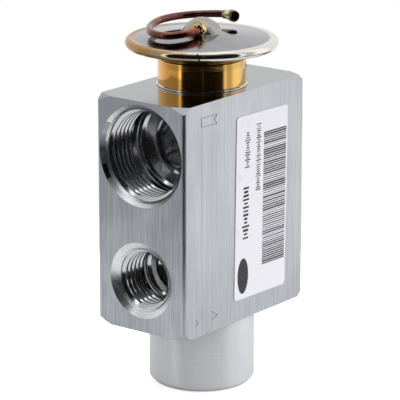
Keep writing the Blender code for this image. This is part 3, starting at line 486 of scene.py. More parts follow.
def thread_rows(shape, thread, facets):
    """Corners of a right-hand thread, in rows that climb one pitch a turn."""
    turns = math.ceil((thread.end - thread.start) / thread.pitch)
    rows = []
    for turn in range(-1, turns + 1):
        for phase, share in THREAD_TURN:
            row = []
            for n in range(facets):
                climb = thread.start + thread.pitch * (turn + phase + n / facets)
                height = min(max(climb, thread.start), thread.end)
                radius = thread_radius(thread, height, share)
                angle = math.tau * n / facets
                place = (radius * math.cos(angle), radius * math.sin(angle), height)
                row.append(shape.verts.new(place))
            rows.append(row)
    return rows


def thread_skin(shape, thread, facets):
    """The skin of a thread. Gives its first and last hoop."""
    rows = thread_rows(shape, thread, facets)
    last = len(rows) - 1
    for index in range(last):
        lower, upper = rows[index], rows[index + 1]
        lower_next = rows[min(index + len(THREAD_TURN), last)][0]
        upper_next = rows[min(index + 1 + len(THREAD_TURN), last)][0]
        ends = [*zip(lower[1:], upper[1:]), (lower_next, upper_next)]
        for low, high, (next_low, next_high) in zip(lower, upper, ends):
            if high.co.z > low.co.z or next_high.co.z > next_low.co.z:
                shape.faces.new((low, next_low, next_high, high))
    return rows[0], rows[last]


def turned(steps, facets, ring=False):
    """A turned shape from (radius, height) corners, with threads among them."""
    shape = bmesh.new()
    first = last = None
    for step in steps:
        if isinstance(step, Thread):
            start, end = thread_skin(shape, step, facets)
        else:
            start = end = hoop(shape, *step, facets)
        if last:
            skin(shape, last, start)
        first = first or start
        last = end
    if ring:
        skin(shape, last, first)
    bmesh.ops.remove_doubles(shape, verts=shape.verts, dist=MERGE_DISTANCE)
    bmesh.ops.dissolve_degenerate(shape, edges=shape.edges, dist=MERGE_DISTANCE / 10)
    bmesh.ops.recalc_face_normals(shape, faces=shape.faces)
    return shape


def show(name, data):
    """A new object in the scene."""
    obj = bpy.data.objects.new(name, data)
    bpy.context.scene.collection.objects.link(obj)
    return obj


def piece(name, shape, material=None, place=None):
    """A new object from a shape, with its place in its mesh."""
    mesh = bpy.data.meshes.new(name)
    if place:
        shape.transform(place)
    shape.to_mesh(mesh)
    shape.free()
    if material:
        mesh.materials.append(material)
    return show(name, mesh)


def finished_mesh(obj):
    """The plain mesh that an object's modifiers make."""
    bpy.context.view_layer.update()
    result = obj.evaluated_get(bpy.context.evaluated_depsgraph_get())
    return bpy.data.meshes.new_from_object(result)


def settle(obj):
    """Put the result of an object's modifiers in its mesh."""
    mesh = finished_mesh(obj)
    obj.modifiers.clear()
    obj.data = mesh
    return obj


def carve(body, tool, how="DIFFERENCE"):
    """Cut, join or trim a body with a tool, and throw the tool away."""
    cut = body.modifiers.new("cut", "BOOLEAN")
    cut.operation = how
    cut.solver = "EXACT"
    cut.object = tool
    settle(body)
    bpy.data.objects.remove(tool)


def smooth(obj, angle=SHARP_ANGLE):
    """Shade a piece smoothly, keep its sharp edges and keep its flats flat."""
    shape = bmesh.new()
    shape.from_mesh(obj.data)
    for face in shape.faces:
        face.smooth = True
    for edge in shape.edges:
        edge.smooth = len(edge.link_faces) == 2 and edge.calc_face_angle(0) < angle
    shape.to_mesh(obj.data)
    shape.free()
    weigh = obj.modifiers.new("flat faces", "WEIGHTED_NORMAL")
    weigh.keep_sharp = True
    weigh.weight = FLAT_FACE_WEIGHT
    return settle(obj)


def standing(height):
    """Place on the valve's axis at a height."""
    return Matrix.Translation((0, 0, height))


def into_front(height):
    """Place whose own +Z runs into the front port face."""
    face = Matrix.Translation((0, -BLOCK_HALF_DEPTH, height))
    return face @ Matrix.Rotation(-math.pi / 2, 4, "X")


def into_rear(height):
    """Place whose own +Z runs into the rear port face."""
    face = Matrix.Translation((0, BLOCK_HALF_DEPTH, height))
    return face @ Matrix.Rotation(math.pi / 2, 4, "X")


def node(tree, kind, values=None, **settings):
    """A node with its settings, and its inputs given as values or as other nodes' outputs."""
    made = tree.nodes.new(kind)
    for setting, value in settings.items():
        setattr(made, setting, value)
    for key, value in (values or {}).items():
        if isinstance(value, bpy.types.NodeSocket):
            tree.links.new(value, made.inputs[key])
        else:
            made.inputs[key].default_value = value
    return made


def calculate(tree, operation, *values):
    """Result of a math node."""
    return node(tree, "ShaderNodeMath", dict(enumerate(values)), operation=operation).outputs[0]


def spread(tree, value, low, high, to_low=0.0, to_high=1.0):
    """A value's smooth way from one level to another, as a number in a new range."""
    inputs = {"Value": value, "From Min": low, "From Max": high, "To Min": to_low, "To Max": to_high}
    return node(tree, "ShaderNodeMapRange", inputs, interpolation_type="SMOOTHSTEP").outputs[0]


def blend_marks(tree, first, second, share):
    """Two patterns in one, with that share of the first."""
    rest = calculate(tree, "MULTIPLY", second, 1 - share)
    return calculate(tree, "MULTIPLY_ADD", first, share, rest)


def linear(red, green, blue):
    """A colour given as it shows on a screen, from 0 to 255, as the light that it stands for."""
    shown = [channel / 255 for channel in (red, green, blue)]
    return (*[c / 12.92 if c <= 0.04045 else ((c + 0.055) / 1.055) ** 2.4 for c in shown], 1)


def blend_colours(tree, share, first, second):
    """Colour between two others, each the result of a node or a colour as a screen shows it."""
    first, second = [c if isinstance(c, bpy.types.NodeSocket) else linear(*c) for c in (first, second)]
    values = {0: share, 6: first, 7: second}
    return node(tree, "ShaderNodeMix", values, data_type="RGBA", blend_type="MIX").outputs[2]


def finish(name, metallic, roughness, extras=None):
    """A new material, with its node tree and its shader."""
    material = bpy.data.materials.new(name)
    material.use_nodes = True
    tree = material.node_tree
    shader = tree.nodes["Principled BSDF"]
    for key, value in {"Metallic": metallic, "Roughness": roughness, **(extras or {})}.items():
        shader.inputs[key].default_value = value
    return material, tree, shader


def paint(tree, shader, colour):
    """Give a finish its colour."""
    tree.links.new(colour, shader.inputs["Base Color"])


def roughen(tree, shader, marks, sharpest, dullest, edges=NOISE_RANGE):
    """Let a finish be sharper and duller by its marks."""
    tree.links.new(spread(tree, marks, *edges, sharpest, dullest), shader.inputs["Roughness"])


def brush_round(tree, shader):
    """Let highlights stretch round the valve's axis."""
    tangent = node(tree, "ShaderNodeTangent", direction_type="RADIAL", axis="Z")
    tree.links.new(tangent.outputs[0], shader.inputs["Tangent"])


def grain(tree, scale, stretch=(1, 1, 1), detail=3.0, turn=(0, 0, 0)):
    """Noise over the piece, drawn out along its axes."""
    place = node(tree, "ShaderNodeTexCoord").outputs["Object"]
    values = {"Vector": place, "Scale": stretch, "Rotation": turn}
    drawn = node(tree, "ShaderNodeMapping", values).outputs[0]
    values = {"Vector": drawn, "Scale": scale, "Detail": detail}
    return node(tree, "ShaderNodeTexNoise", values).outputs[0]


def across_and_up(tree):
    """Place over a piece: to the camera's right, up the valve's axis, and out from the axis."""
    place = node(tree, "ShaderNodeTexCoord").outputs["Object"]
    x, y, z = node(tree, "ShaderNodeSeparateXYZ", {"Vector": place}).outputs
    right_x, right_y = CAMERA_PLACE[0][0], CAMERA_PLACE[1][0]
    side = calculate(tree, "MULTIPLY_ADD", x, right_x, calculate(tree, "MULTIPLY", y, right_y))
    square = calculate(tree, "MULTIPLY_ADD", x, x, calculate(tree, "MULTIPLY", y, y))
    return side, z, calculate(tree, "SQRT", square)


def relief(tree, shader, height, depth, strength):
    """Fine relief on a surface, from a height between 0 and 1."""
    values = {"Height": height, "Distance": depth, "Strength": strength}
    bump = node(tree, "ShaderNodeBump", values)
    tree.links.new(bump.outputs[0], shader.inputs["Normal"])


def drawn_aluminium(name, dark, pale, roughness, patch_strength, painted_top_shade):
    """Extruded aluminium with fine upright grain and faint cloudy patches, darkened towards its top by
    painted shade.
    """
    material, tree, shader = finish(name, 1.0, roughness, {"Anisotropic": 0.6})
    lines = grain(tree, 6500, stretch=(1, 1, 0.022))
    bands = grain(tree, 1500, stretch=(1, 1, 0.03), detail=2.0)
    patches = grain(tree, 95, stretch=(1, 1, 0.8), detail=1.0, turn=(0.7, 0.5, 0.2))
    mixed = blend_marks(tree, lines, bands, 0.7)
    clouded = calculate(tree, "MULTIPLY_ADD", patches, patch_strength, mixed)
    share = spread(tree, clouded, 0.36 + patch_strength / 2, 0.66 + patch_strength / 2)
    _, height, _ = across_and_up(tree)
    # Painted shade: the face darkens towards its top, by the given share
    shade = spread(tree, height, *PAINTED_SHADE_HEIGHTS, to_high=painted_top_shade)
    share = calculate(tree, "SUBTRACT", share, shade)
    paint(tree, shader, blend_colours(tree, share, dark, pale))
    roughen(tree, shader, lines, roughness - 0.06, roughness + 0.08)
    brush_round(tree, shader)
    relief(tree, shader, lines, 0.00001, 0.4)
    return material


def milled_aluminium():
    """The block's mirror-bright end faces, with faint rings from the facing tool."""
    mirror = {"Base Color": linear(154, 158, 160)}
    material, tree, shader = finish("milled_aluminium", 1.0, 0.09, mirror)
    place = node(tree, "ShaderNodeTexCoord").outputs["Object"]
    values = {"Vector": place, "Scale": 900, "Distortion": 0.6, "Detail": 2.0}
    rings = node(tree, "ShaderNodeTexWave", values, wave_type="RINGS", rings_direction="Z")
    roughen(tree, shader, grain(tree, 320), 0.10, 0.15)
    relief(tree, shader, rings.outputs[1], 0.000001, 0.35)
    return material


def turned_aluminium():
    """The spring housing's satin skin, with fine marks round it and a few slanting scuffs."""
    brushed = {"Anisotropic": 0.85, "Anisotropic Rotation": 0.25}
    material, tree, shader = finish("turned_aluminium", 0.6, 0.38, brushed)
    rings = grain(tree, 6000, stretch=(0.01, 0.01, 1), detail=2.0)
    scuffs = grain(tree, 1500, stretch=(1, 1, 0.08), detail=1.0, turn=(0, 0.9, 0.6))
    share = blend_marks(tree, scuffs, rings, 0.3)
    paint(tree, shader, blend_colours(tree, share, (208, 211, 214), (230, 232, 234)))
    brush_round(tree, shader)
    relief(tree, shader, rings, 0.000008, 0.3)
    return material


def bored_aluminium(name, dark, pale, sharpest, dullest, tooling):
    """Bright machined aluminium, with fine tool marks."""
    material, tree, shader = finish(name, 1.0, sharpest)
    marks = grain(tree, 4200, stretch=(1, 0.4, 1), detail=2.0)
    paint(tree, shader, blend_colours(tree, marks, dark, pale))
    roughen(tree, shader, marks, sharpest, dullest)
    relief(tree, shader, marks, 0.000008, tooling)
    return material


def gold_passivate():
    """The neck's bright yellow-passivated turned steel, with a bare ring at its foot, and paler towards
    the camera's right as a painted highlight.
    """
    lacquer = {"Coat Weight": 0.6, "Coat Roughness": 0.08}
    material, tree, shader = finish("gold_passivate", 1.0, 0.12, lacquer)
    rings = grain(tree, 3800, stretch=(0.01, 0.01, 1), detail=1.0)
    side, height, _ = across_and_up(tree)
    # Painted highlight: the colour turns paler and creamier towards the camera's right
    drift = calculate(tree, "MULTIPLY_ADD", grain(tree, 260), 0.008, side)
    share = spread(tree, drift, -0.008, 0.014)
    colour = blend_colours(tree, share, (228, 162, 64), (224, 178, 92))
    foot = NECK_Z + NECK_FOOT_HEIGHT
    bare = spread(tree, height, foot + 0.00012, foot + 0.00002)
    paint(tree, shader, blend_colours(tree, bare, colour, (222, 221, 212)))
    relief(tree, shader, rings, 0.000003, 0.2)
    return material


def polished_shell():
    """The head's polished steel: smoky plate, dull dome, and a rim heat-tinted gold on one side."""
    material, tree, shader = finish("polished_shell", 1.0, 0.1)
    side, _, out = across_and_up(tree)
    cloud = grain(tree, 330, detail=4.0)
    plate = blend_colours(tree, cloud, (120, 120, 124), (154, 155, 158))
    drift = calculate(tree, "MULTIPLY_ADD", cloud, 0.012, side)
    warm = spread(tree, drift, -0.010, 0.012)
    tinted = blend_colours(tree, warm, (172, 134, 78), (226, 222, 214))
    rim = blend_colours(tree, spread(tree, out, 0.0158, 0.0166), plate, tinted)
    heated = blend_colours(tree, grain(tree, 1500), (140, 136, 132), (190, 186, 180))
    paint(tree, shader, blend_colours(tree, spread(tree, out, 0.0047, 0.0055), heated, rim))
    roughen(tree, shader, out, 0.26, 0.09, edges=(0.0046, 0.0056))
    relief(tree, shader, grain(tree, 500, detail=4.0), 0.000005, 0.25)
    return material


def tarnished_copper():
    """Copper browned by the brazing torch, with purple and orange tints."""
    lacquer = {"Coat Weight": 0.4, "Coat Roughness": 0.12}
    material, tree, shader = finish("tarnished_copper", 1.0, 0.2, lacquer)
    broad = grain(tree, 260, detail=2.0)
    fine = grain(tree, 620, detail=1.0)
    streaks = spread(tree, fine, *NOISE_RANGE)
    brown = blend_colours(tree, streaks, (98, 52, 44), (134, 76, 62))
    purple = blend_colours(tree, spread(tree, broad, 0.52, 0.68), brown, (94, 62, 74))
    orange = blend_colours(tree, spread(tree, broad, 0.42, 0.30), purple, (160, 80, 52))
    paint(tree, shader, orange)
    roughen(tree, shader, fine, 0.16, 0.28)
    relief(tree, shader, fine, 0.00001, 0.15)
    return material


def mottled(name):
    """A finish that wanders between two colours, with pits where it has a depth for them."""
    mottle = MOTTLES[name]
    material, tree, shader = finish(name, mottle.metallic, mottle.roughness)
    marks = grain(tree, mottle.scale, detail=mottle.detail)
    share = spread(tree, marks, *mottle.levels) if mottle.levels else marks
    paint(tree, shader, blend_colours(tree, share, mottle.dark, mottle.pale))
    if mottle.pits:
        relief(tree, shader, marks, *mottle.pits)
    return material


def label_paper():
    """White satin label paper with very faint smudges."""
    material, tree, shader = finish("label_paper", 0.0, 0.5)
    smudge = spread(tree, grain(tree, 260, detail=4.0), 0.62, 0.8)
    paint(tree, shader, blend_colours(tree, smudge, (236, 235, 241), (212, 212, 220)))
    relief(tree, shader, grain(tree, 9000, detail=2.0), 0.000004, 0.3)
    return material


def turned_metal(name, dark, pale, roughness):
    """Metal with fine marks round its axis."""
    material, tree, shader = finish(name, 1.0, roughness)
    rings = grain(tree, 4200, stretch=(0.02, 0.02, 1), detail=2.0)
    paint(tree, shader, blend_colours(tree, rings, dark, pale))
    roughen(tree, shader, rings, roughness - 0.05, roughness + 0.06)
    relief(tree, shader, rings, 0.00001, 0.3)
    return material


def block_profile():
    """Outline of the extrusion, with its rounded edges and the die's lines."""
    inner_x = BLOCK_HALF_WIDTH - EDGE_FILLET
    inner_y = BLOCK_HALF_DEPTH - EDGE_FILLET
    quarter = math.pi / 2
    corners = ((1, 1, 0), (-1, 1, 1), (-1, -1, 2), (1, -1, 3))
    outline = []
    for side_x, side_y, turns in corners:
        centre = (side_x * inner_x, side_y * inner_y)
        start = turns * quarter
        outline += arc(*centre, EDGE_FILLET, start, start + quarter, EDGE_FILLET_STEPS)
    for place in DIE_LINES:
        floor = BLOCK_HALF_WIDTH - DIE_LINE_DEPTH
        outline.append((BLOCK_HALF_WIDTH, place - DIE_LINE_WIDTH / 2))
        outline.append((floor, place))
        outline.append((BLOCK_HALF_WIDTH, place + DIE_LINE_WIDTH / 2))
    return outline


def scribed_line(start, end):
    """Thin tool for one line of the flow arrow on the label's face."""
    first, last = Vector((0, *start)), Vector((0, *end))
    along = last - first
    size = Matrix.Diagonal((2 * SCRIBE_DEPTH, along.length + SCRIBE_WIDTH / 2, SCRIBE_WIDTH, 1))
    tilt = Matrix.Rotation(math.atan2(along.z, along.y), 4, "X")
    middle = (first + last) / 2 + Vector((BLOCK_HALF_WIDTH, 0, 0))
    shape = bmesh.new()
    bmesh.ops.create_cube(shape, size=1, matrix=Matrix.Translation(middle) @ tilt @ size)
    return piece("scribed_line", shape)


def corner_turning():
    """Tool that leaves what a lathe leaves of the block's corners."""
    reach = BLOCK_CORNER + CORNER_TURN_DROP
    radius = BLOCK_CORNER - CORNER_TURN_DROP
    rise = reach - radius
    over = OVERRUN / 4
    outline = [
        (0, BLOCK_BOTTOM - over),
        (radius - over, BLOCK_BOTTOM - over),
        (reach, BLOCK_BOTTOM + rise),
        (reach, BLOCK_TOP - rise),
        (radius - over, BLOCK_TOP + over),
        (0, BLOCK_TOP + over),
    ]
    return piece("corner_turning", turned(outline, ROUND_FACETS))


def spring_housing_tool():
    """The turned spring housing, which is one piece with the block."""
    outline = [
        (0, 0),
        (BOSS_RADIUS - BOSS_CHAMFER, 0),
        (BOSS_RADIUS, BOSS_CHAMFER),
        (BOSS_RADIUS, BLOCK_BOTTOM + OVERRUN),
        (0, BLOCK_BOTTOM + OVERRUN),
    ]
    return piece("spring_housing", turned(softened(outline, SMALL_CHAMFER), ROUND_FACETS))


def port_mouth(port):
    """Corners of a screwed port from outside its face, over its sealing cone, to its thread."""
    slope = port.cone_depth / (port.spot_radius - port.thread_radius)
    line = slope * (port.spot_radius - port.cone_radius) - CONE_LINE_DEPTH
    return softened(
        [
            (port.spot_radius, -OVERRUN),
            (port.spot_radius, 0),
            (port.cone_radius, line),
            (port.cone_radius - CONE_LINE_DEPTH, line + 2 * CONE_LINE_DEPTH),
            (port.thread_radius + EDGE_BREAK / 4, port.cone_depth),
        ],
        EDGE_BREAK / 2,
        2,
    )


def port_floor(port):
    """Corners of a screwed port from the end of its thread to its floor."""
    bore = port.thread_radius + RELIEF_CLEARANCE
    return softened(
        [
            (bore, port.thread_end + EDGE_BREAK),
            (bore, port.relief_end),
            (bore - RELIEF_STEP, port.relief_end + RELIEF_STEP),
            (bore - RELIEF_STEP, port.tube_end - LEDGE_SLOPE_DEPTH),
            (port.tube_radius, port.tube_end),
            (port.step_radius, port.step_end),
            (port.step_radius, port.depth),
        ],
        EDGE_BREAK,
        2,
    )


def port_thread(port):
    """The thread of a screwed port, from its mouth inwards."""
    return Thread(
        start=port.cone_depth + EDGE_BREAK / 2,
        end=port.thread_end,
        start_radius=port.thread_radius,
        end_radius=port.thread_radius + RELIEF_CLEARANCE,
        crest=port.minor_radius,
        root=port.thread_radius,
        pitch=PORT_PITCH,
    )


def mirrored(steps, length):
    """The same steps from the other end of a bore of that length."""
    far = []
    for step in reversed(steps):
        if isinstance(step, Thread):
            far.append(
                step._replace(
                    start=length - step.end,
                    end=length - step.start,
                    start_radius=step.end_radius,
                    end_radius=step.start_radius,
                )
            )
        else:
            far.append((step[0], length - step[1]))
    return far


def suction_way():
    """Tool for the straight suction way, with a screwed port at each end."""
    length = 2 * BLOCK_HALF_DEPTH
    near = [*port_mouth(SUCTION_PORT), port_thread(SUCTION_PORT), *port_floor(SUCTION_PORT)]
    near.append((SUCTION_PASSAGE_RADIUS, SUCTION_PORT.depth))
    steps = [(0, -OVERRUN), *near, *mirrored(near, length), (0, length + OVERRUN)]
    return piece("suction_way", turned(steps, PORT_FACETS), place=into_front(SUCTION_Z))


def liquid_steps():
    """Corners of a liquid port's screwed part, from outside its face to its floor."""
    return [(0, -OVERRUN), *port_mouth(LIQUID_PORT), port_thread(LIQUID_PORT), *port_floor(LIQUID_PORT)]


def liquid_inlet():
    """Tool for the liquid inlet, with a drilled way into the spring chamber."""
    reach = BLOCK_HALF_DEPTH - SPRING_CHAMBER.radius / 2
    narrowing = LIQUID_PORT.step_radius - LIQUID_BORE_RADIUS
    steps = [
        *liquid_steps(),
        (LIQUID_BORE_RADIUS, LIQUID_PORT.depth + DRILL_POINT_SLOPE * narrowing),
        (LIQUID_BORE_RADIUS, reach),
        (0, reach),
    ]
    return piece("liquid_inlet", turned(steps, PORT_FACETS), place=into_front(INLET_Z))


def outlet_port():
    """Tool for the outlet's screwed port in the rear face."""
    steps = [*liquid_steps(), (0, LIQUID_PORT.depth)]
    return piece("outlet_port", turned(steps, PORT_FACETS), place=into_rear(OUTLET_Z))


def outlet_bore():
    """Tool for the drilled way from the outlet port to above the orifice."""
    steps = [
        (0, LIQUID_PORT.step_end),
        (LIQUID_BORE_RADIUS, LIQUID_PORT.step_end),
        (LIQUID_BORE_RADIUS, BLOCK_HALF_DEPTH),
        (0, BLOCK_HALF_DEPTH),
    ]
    return piece("outlet_bore", turned(steps, BORE_FACETS), place=into_rear(OUTLET_BORE_Z))


def bore_wall(bore):
    """Corners at both ends of a plain bore."""
    return (bore.radius, bore.start), (bore.radius, bore.end)


def axis_bores():
    """Tool for the spring housing's thread, the spring chamber and the orifice."""
    thread = Thread(
        start=HOUSING_THREAD_START,
        end=HOUSING_THREAD_END,
        start_radius=HOUSING_THREAD_ROOT,
        end_radius=HOUSING_THREAD_CREST,
        crest=HOUSING_THREAD_CREST,
        root=HOUSING_THREAD_ROOT,
        pitch=SCREW_PITCH,
    )
    steps = [
        (0, THREAD_LEAD.start),
        *bore_wall(THREAD_LEAD),
        (HOUSING_THREAD_ROOT, THREAD_LEAD_DEPTH),
        thread,
        *bore_wall(SCREW_BORE),
        *bore_wall(SPRING_CHAMBER),
        (BALL_SEAT_RADIUS, SPRING_CHAMBER.end),
        *bore_wall(ORIFICE),
        *bore_wall(OUTLET_ROOM),
        *bore_wall(ROD_GUIDE),
        *bore_wall(ROD_SEAL_POCKET),
        (0, ROD_SEAL_POCKET.end),
    ]
    return piece("axis_bores", turned(steps, BORE_FACETS))


def head_socket():
    """Tool for the socket that takes the head's neck, and its way down to the suction."""
    steps = [
        (0, HEAD_WAY.start),
        *bore_wall(HEAD_WAY),
        *bore_wall(NECK_SOCKET),
        *bore_wall(NECK_SEAL_RECESS),
        (0, NECK_SEAL_RECESS.end),
    ]
    return piece("head_socket", turned(steps, BORE_FACETS))



def body_finish(face):
    """Which of the body's finishes a face has, by where it is and which way it looks."""
    centre, normal = face.calc_center_median(), face.normal
    off_axis = math.hypot(centre.x, centre.y)
    if centre.z < BLOCK_BOTTOM - MERGE_DISTANCE:
        return "housing" if off_axis > HOUSING_THREAD_ROOT + EDGE_FILLET else "bore"
    level, steep = TURNED_CORNER_FACE
    if centre.z < INLET_Z and level < normal.z < steep and off_axis > TURNED_CORNER_START:
        return "port_side"
    if abs(normal.z) > LEVEL_FACE:
        at_end = min(abs(centre.z - BLOCK_TOP), abs(centre.z - BLOCK_BOTTOM))
        if at_end < NEAR_FLAT or off_axis > BLOCK_CORNER * END_FACE_SHARE:
            return "end_face"
    edge = 2 * EDGE_FILLET
    sunk = BLOCK_HALF_WIDTH - abs(centre.x)
    if DIE_LINE_DEPTH < sunk < DEEPEST_SCRIBED and abs(centre.y) < BLOCK_HALF_DEPTH - edge:
        return "scribed"
    if abs(centre.x) > BLOCK_HALF_WIDTH - edge / 2 and abs(normal.x) >= abs(normal.y):
        return "label_side"
    if abs(centre.y) > BLOCK_HALF_DEPTH - NEAR_FLAT:
        return "port_side"
    if abs(centre.x) > BLOCK_HALF_WIDTH - edge and abs(centre.y) > BLOCK_HALF_DEPTH - edge:
        return "port_side"
    if off_axis > BLOCK_CORNER * CORNER_SHARE:
        return "end_face"
    if abs(centre.y) > BLOCK_HALF_DEPTH - SUCTION_PORT.cone_depth:
        return "port_mouth"
    return "bore"


def valve_body(finishes):
    """The extruded and machined block with its turned spring housing, threads and bores."""
    shape = bmesh.new()
    outline = sorted(block_profile(), key=lambda point: math.atan2(point[1], point[0]))
    face = shape.faces.new([shape.verts.new((x, y, BLOCK_BOTTOM)) for x, y in outline])
    raised = bmesh.ops.extrude_face_region(shape, geom=[face])
    corners = [item for item in raised["geom"] if isinstance(item, bmesh.types.BMVert)]
    bmesh.ops.translate(shape, verts=corners, vec=(0, 0, BLOCK_TOP - BLOCK_BOTTOM))
    bmesh.ops.recalc_face_normals(shape, faces=shape.faces)
    body = piece("machined_body", shape)
    for start, end in SCRIBED_LINES:
        carve(body, scribed_line(start, end))
    carve(body, corner_turning(), "INTERSECT")
    carve(body, spring_housing_tool(), "UNION")
    for tool in (suction_way, liquid_inlet, outlet_port, outlet_bore, axis_bores, head_socket):
        carve(body, tool())
    body.data.materials.clear()
    for key in BODY_FINISHES:
        body.data.materials.append(finishes[key])
    shape = bmesh.new()
    shape.from_mesh(body.data)
    for face in shape.faces:
        face.material_index = BODY_FINISHES.index(body_finish(face))
    shape.to_mesh(body.data)
    shape.free()
    return smooth(body)


def neck(material):
    """The turned bush that carries the head, with fine lines near its shoulder."""
    foot = NECK_THREAD_BOTTOM - NECK_Z
    lines = []
    for n in range(NECK_LINES):
        height = NECK_HEIGHT - NECK_LINES_DROP + n * NECK_LINE_SPACING
        middle = (NECK_RADIUS - NECK_LINE_DEPTH, height + NECK_LINE_HALF_WIDTH)
        lines += [(NECK_RADIUS, height), middle, (NECK_RADIUS, height + 2 * NECK_LINE_HALF_WIDTH)]
    outline = [
        (NECK_BORE_RADIUS, foot),
        (NECK_THREAD_RADIUS - SMALL_CHAMFER, foot),
        (NECK_THREAD_RADIUS, foot + SMALL_CHAMFER),
        (NECK_THREAD_RADIUS, 0),
        (NECK_FOOT_RADIUS, 0),
        (NECK_FOOT_RADIUS, NECK_FOOT_HEIGHT),
        (NECK_RADIUS, NECK_FOOT_HEIGHT + NECK_SLOPE),
        *lines,
        (NECK_RADIUS, NECK_HEIGHT - SMALL_CHAMFER),
        (NECK_RADIUS - SMALL_CHAMFER, NECK_HEIGHT),
        (NECK_SPIGOT_RADIUS, NECK_HEIGHT),
        (NECK_SPIGOT_RADIUS, NECK_HEIGHT + NECK_SPIGOT_HEIGHT),
        (NECK_BORE_RADIUS, NECK_HEIGHT + NECK_SPIGOT_HEIGHT),
    ]
    shape = turned(softened(outline, NECK_EDGE_BREAK, 2), ROUND_FACETS, ring=True)
    return smooth(piece("turned_neck", shape, material, standing(NECK_Z)))


def dome_skin(offset, steps):
    """Arc of the dome's skin, or of one parallel to it, from its top to its foot."""
    ball = (DOME_RADIUS**2 + DOME_HEIGHT**2) / (2 * DOME_HEIGHT)
    centre = DOME_FOOT_Z + DOME_HEIGHT - ball
    foot = math.asin((DOME_FOOT_Z + offset - centre) / (ball + offset))
    points = arc(0, centre, ball + offset, math.pi / 2, foot, steps)
    return [(0, points[0][1]), *points[1:]]


def upper_shell(material):
    """The polished cover with its dome, rolled over the lower shell, and the seam in its rim."""
    rim = arc(HEM_CENTRE_RADIUS, HEM_Z, HEM_RADIUS, HEM_START, -math.pi / 2, HEM_STEPS)
    edge = [(PLATE_EDGE_RADIUS, PLATE_EDGE_Z), *rim, (HEM_LIP_RADIUS, HEM_Z - HEM_RADIUS)]
    dome = dome_skin(0, DOME_STEPS)
    skirt = [*dome[-2:], (DOME_RADIUS + DOME_SKIRT_REACH, DOME_FOOT_Z - DOME_SKIRT_DROP)]
    outline = [
        *dome[:-1],
        *softened(skirt, DOME_SKIRT_CURVE, 5)[1:],
        *softened(edge, PLATE_EDGE_CURVE),
        (HEM_LIP_RADIUS, HEM_LIP_TOP),
        (FLANGE_RADIUS + SHELL_CLEARANCE, HEM_LIP_TOP),
        (FLANGE_RADIUS + SHELL_CLEARANCE, PLATE_UNDERSIDE),
        (PLATE_EDGE_RADIUS, PLATE_UNDERSIDE),
        *reversed(dome_skin(-SHELL_WALL, DOME_INSIDE_STEPS)),
    ]
    shell = piece("polished_cover", turned(outline, ROUND_FACETS), material)
    carve(shell, rim_seam())
    carve(shell, tube_hole())
    return smooth(shell)


def rim_seam():
    """Thin wedge for the seam across the rolled rim, on the side of the camera."""
    shape = bmesh.new()
    bmesh.ops.create_cube(shape, size=1, matrix=Matrix.Diagonal((*SEAM_SIZE, 1)))
    place = (
        Matrix.Rotation(CAMERA_HEADING - SEAM_SIDE, 4, "Z")
        @ Matrix.Translation((HEM_CENTRE_RADIUS + HEM_RADIUS + SEAM_REACH, 0, HEM_Z))
        @ Matrix.Rotation(SEAM_SLANT, 4, "X")
    )
    return piece("rim_seam", shape, place=place)


def along_entry(distance):
    """Place whose own +Z runs outwards along the tube's entry, from a distance off the axis."""
    heading = Matrix.Rotation(TUBE_ENTRY_ANGLE, 4, "Z") @ Matrix.Rotation(math.pi / 2, 4, "Y")
    return Matrix.Translation(entry_axis(distance)) @ heading


def entry_axis(distance):
    """Point on the straight stretch where the tube enters the dome."""
    x = distance * math.cos(TUBE_ENTRY_ANGLE)
    y = distance * math.sin(TUBE_ENTRY_ANGLE)
    return Vector((x, y, DOME_FOOT_Z + TUBE_ENTRY_HEIGHT))


def tube_hole():
    """Tool for the hole in the dome's wall."""
    radius = TUBE_RADIUS + SHELL_CLEARANCE
    outline = [(0, 0), (radius, 0), (radius, DOME_RADIUS), (0, DOME_RADIUS)]
    return piece("tube_hole", turned(outline, SMALL_FACETS), place=along_entry(DOME_RADIUS / 3))


def lower_shell(material):
    """The pressed plate under the diaphragm."""
    wall = LOWER_SHELL_WALL
    hole = NECK_SPIGOT_RADIUS + SHELL_CLEARANCE
    flange_start = HEM_LIP_RADIUS - LOWER_SHELL_INSET
    outline = softened(
        [
            (hole, wall),
            (hole, 0),
            (LOWER_SHELL_FLAT_RADIUS, 0),
            (flange_start, LOWER_SHELL_RISE),
            (FLANGE_RADIUS, LOWER_SHELL_RISE),
            (FLANGE_RADIUS, LOWER_SHELL_RISE + wall),
            (flange_start - wall / 2, LOWER_SHELL_RISE + wall),
            (LOWER_SHELL_FLAT_RADIUS - wall / 3, wall),
            (hole + wall / 4, wall),
        ],
        LOWER_SHELL_BEND,
        4,
    )
    shape = turned(outline, ROUND_FACETS, ring=True)
    return smooth(piece("pressed_plate", shape, material, standing(LOWER_SHELL_Z)))


def catmull_rom(before, start, end, after, share):
    """Point on the smooth curve from start to end that leaves its neighbours in line."""
    constant = 2 * start
    slope = end - before
    square = 2 * before - 5 * start + 4 * end - after
    cube = 3 * start - before - 3 * end + after
    return (constant + slope * share + square * share**2 + cube * share**3) / 2


def tube_route():
    """Points of the tube: straight out of the dome, then smoothly round its loop."""
    knots = [entry_axis(TUBE_ENTRY_DEPTH), entry_axis((TUBE_ENTRY_DEPTH + DOME_RADIUS) / 2)]
    foot = Vector((0, 0, DOME_FOOT_Z))
    knots += [foot + Vector(place) * TUBE_LOOP_UNIT for place in TUBE_LOOP]
    padded = [2 * knots[0] - knots[1], *knots, 2 * knots[-1] - knots[-2]]
    points = []
    for before, start, end, after in zip(padded, padded[1:], padded[2:], padded[3:]):
        for step in range(TUBE_SPAN_POINTS):
            points.append(catmull_rom(before, start, end, after, step / TUBE_SPAN_POINTS))
    points.append(knots[-1])
    return points


def along_route(route, distance):
    """Point at a distance back from the end of the route, and the route's heading there."""
    end = route[-1]
    for start in reversed(route[:-1]):
        length = (end - start).length
        if distance <= length:
            return end + (start - end) * distance / length, (end - start).normalized()
        distance -= length
        end = start
    return route[0], (route[1] - route[0]).normalized()


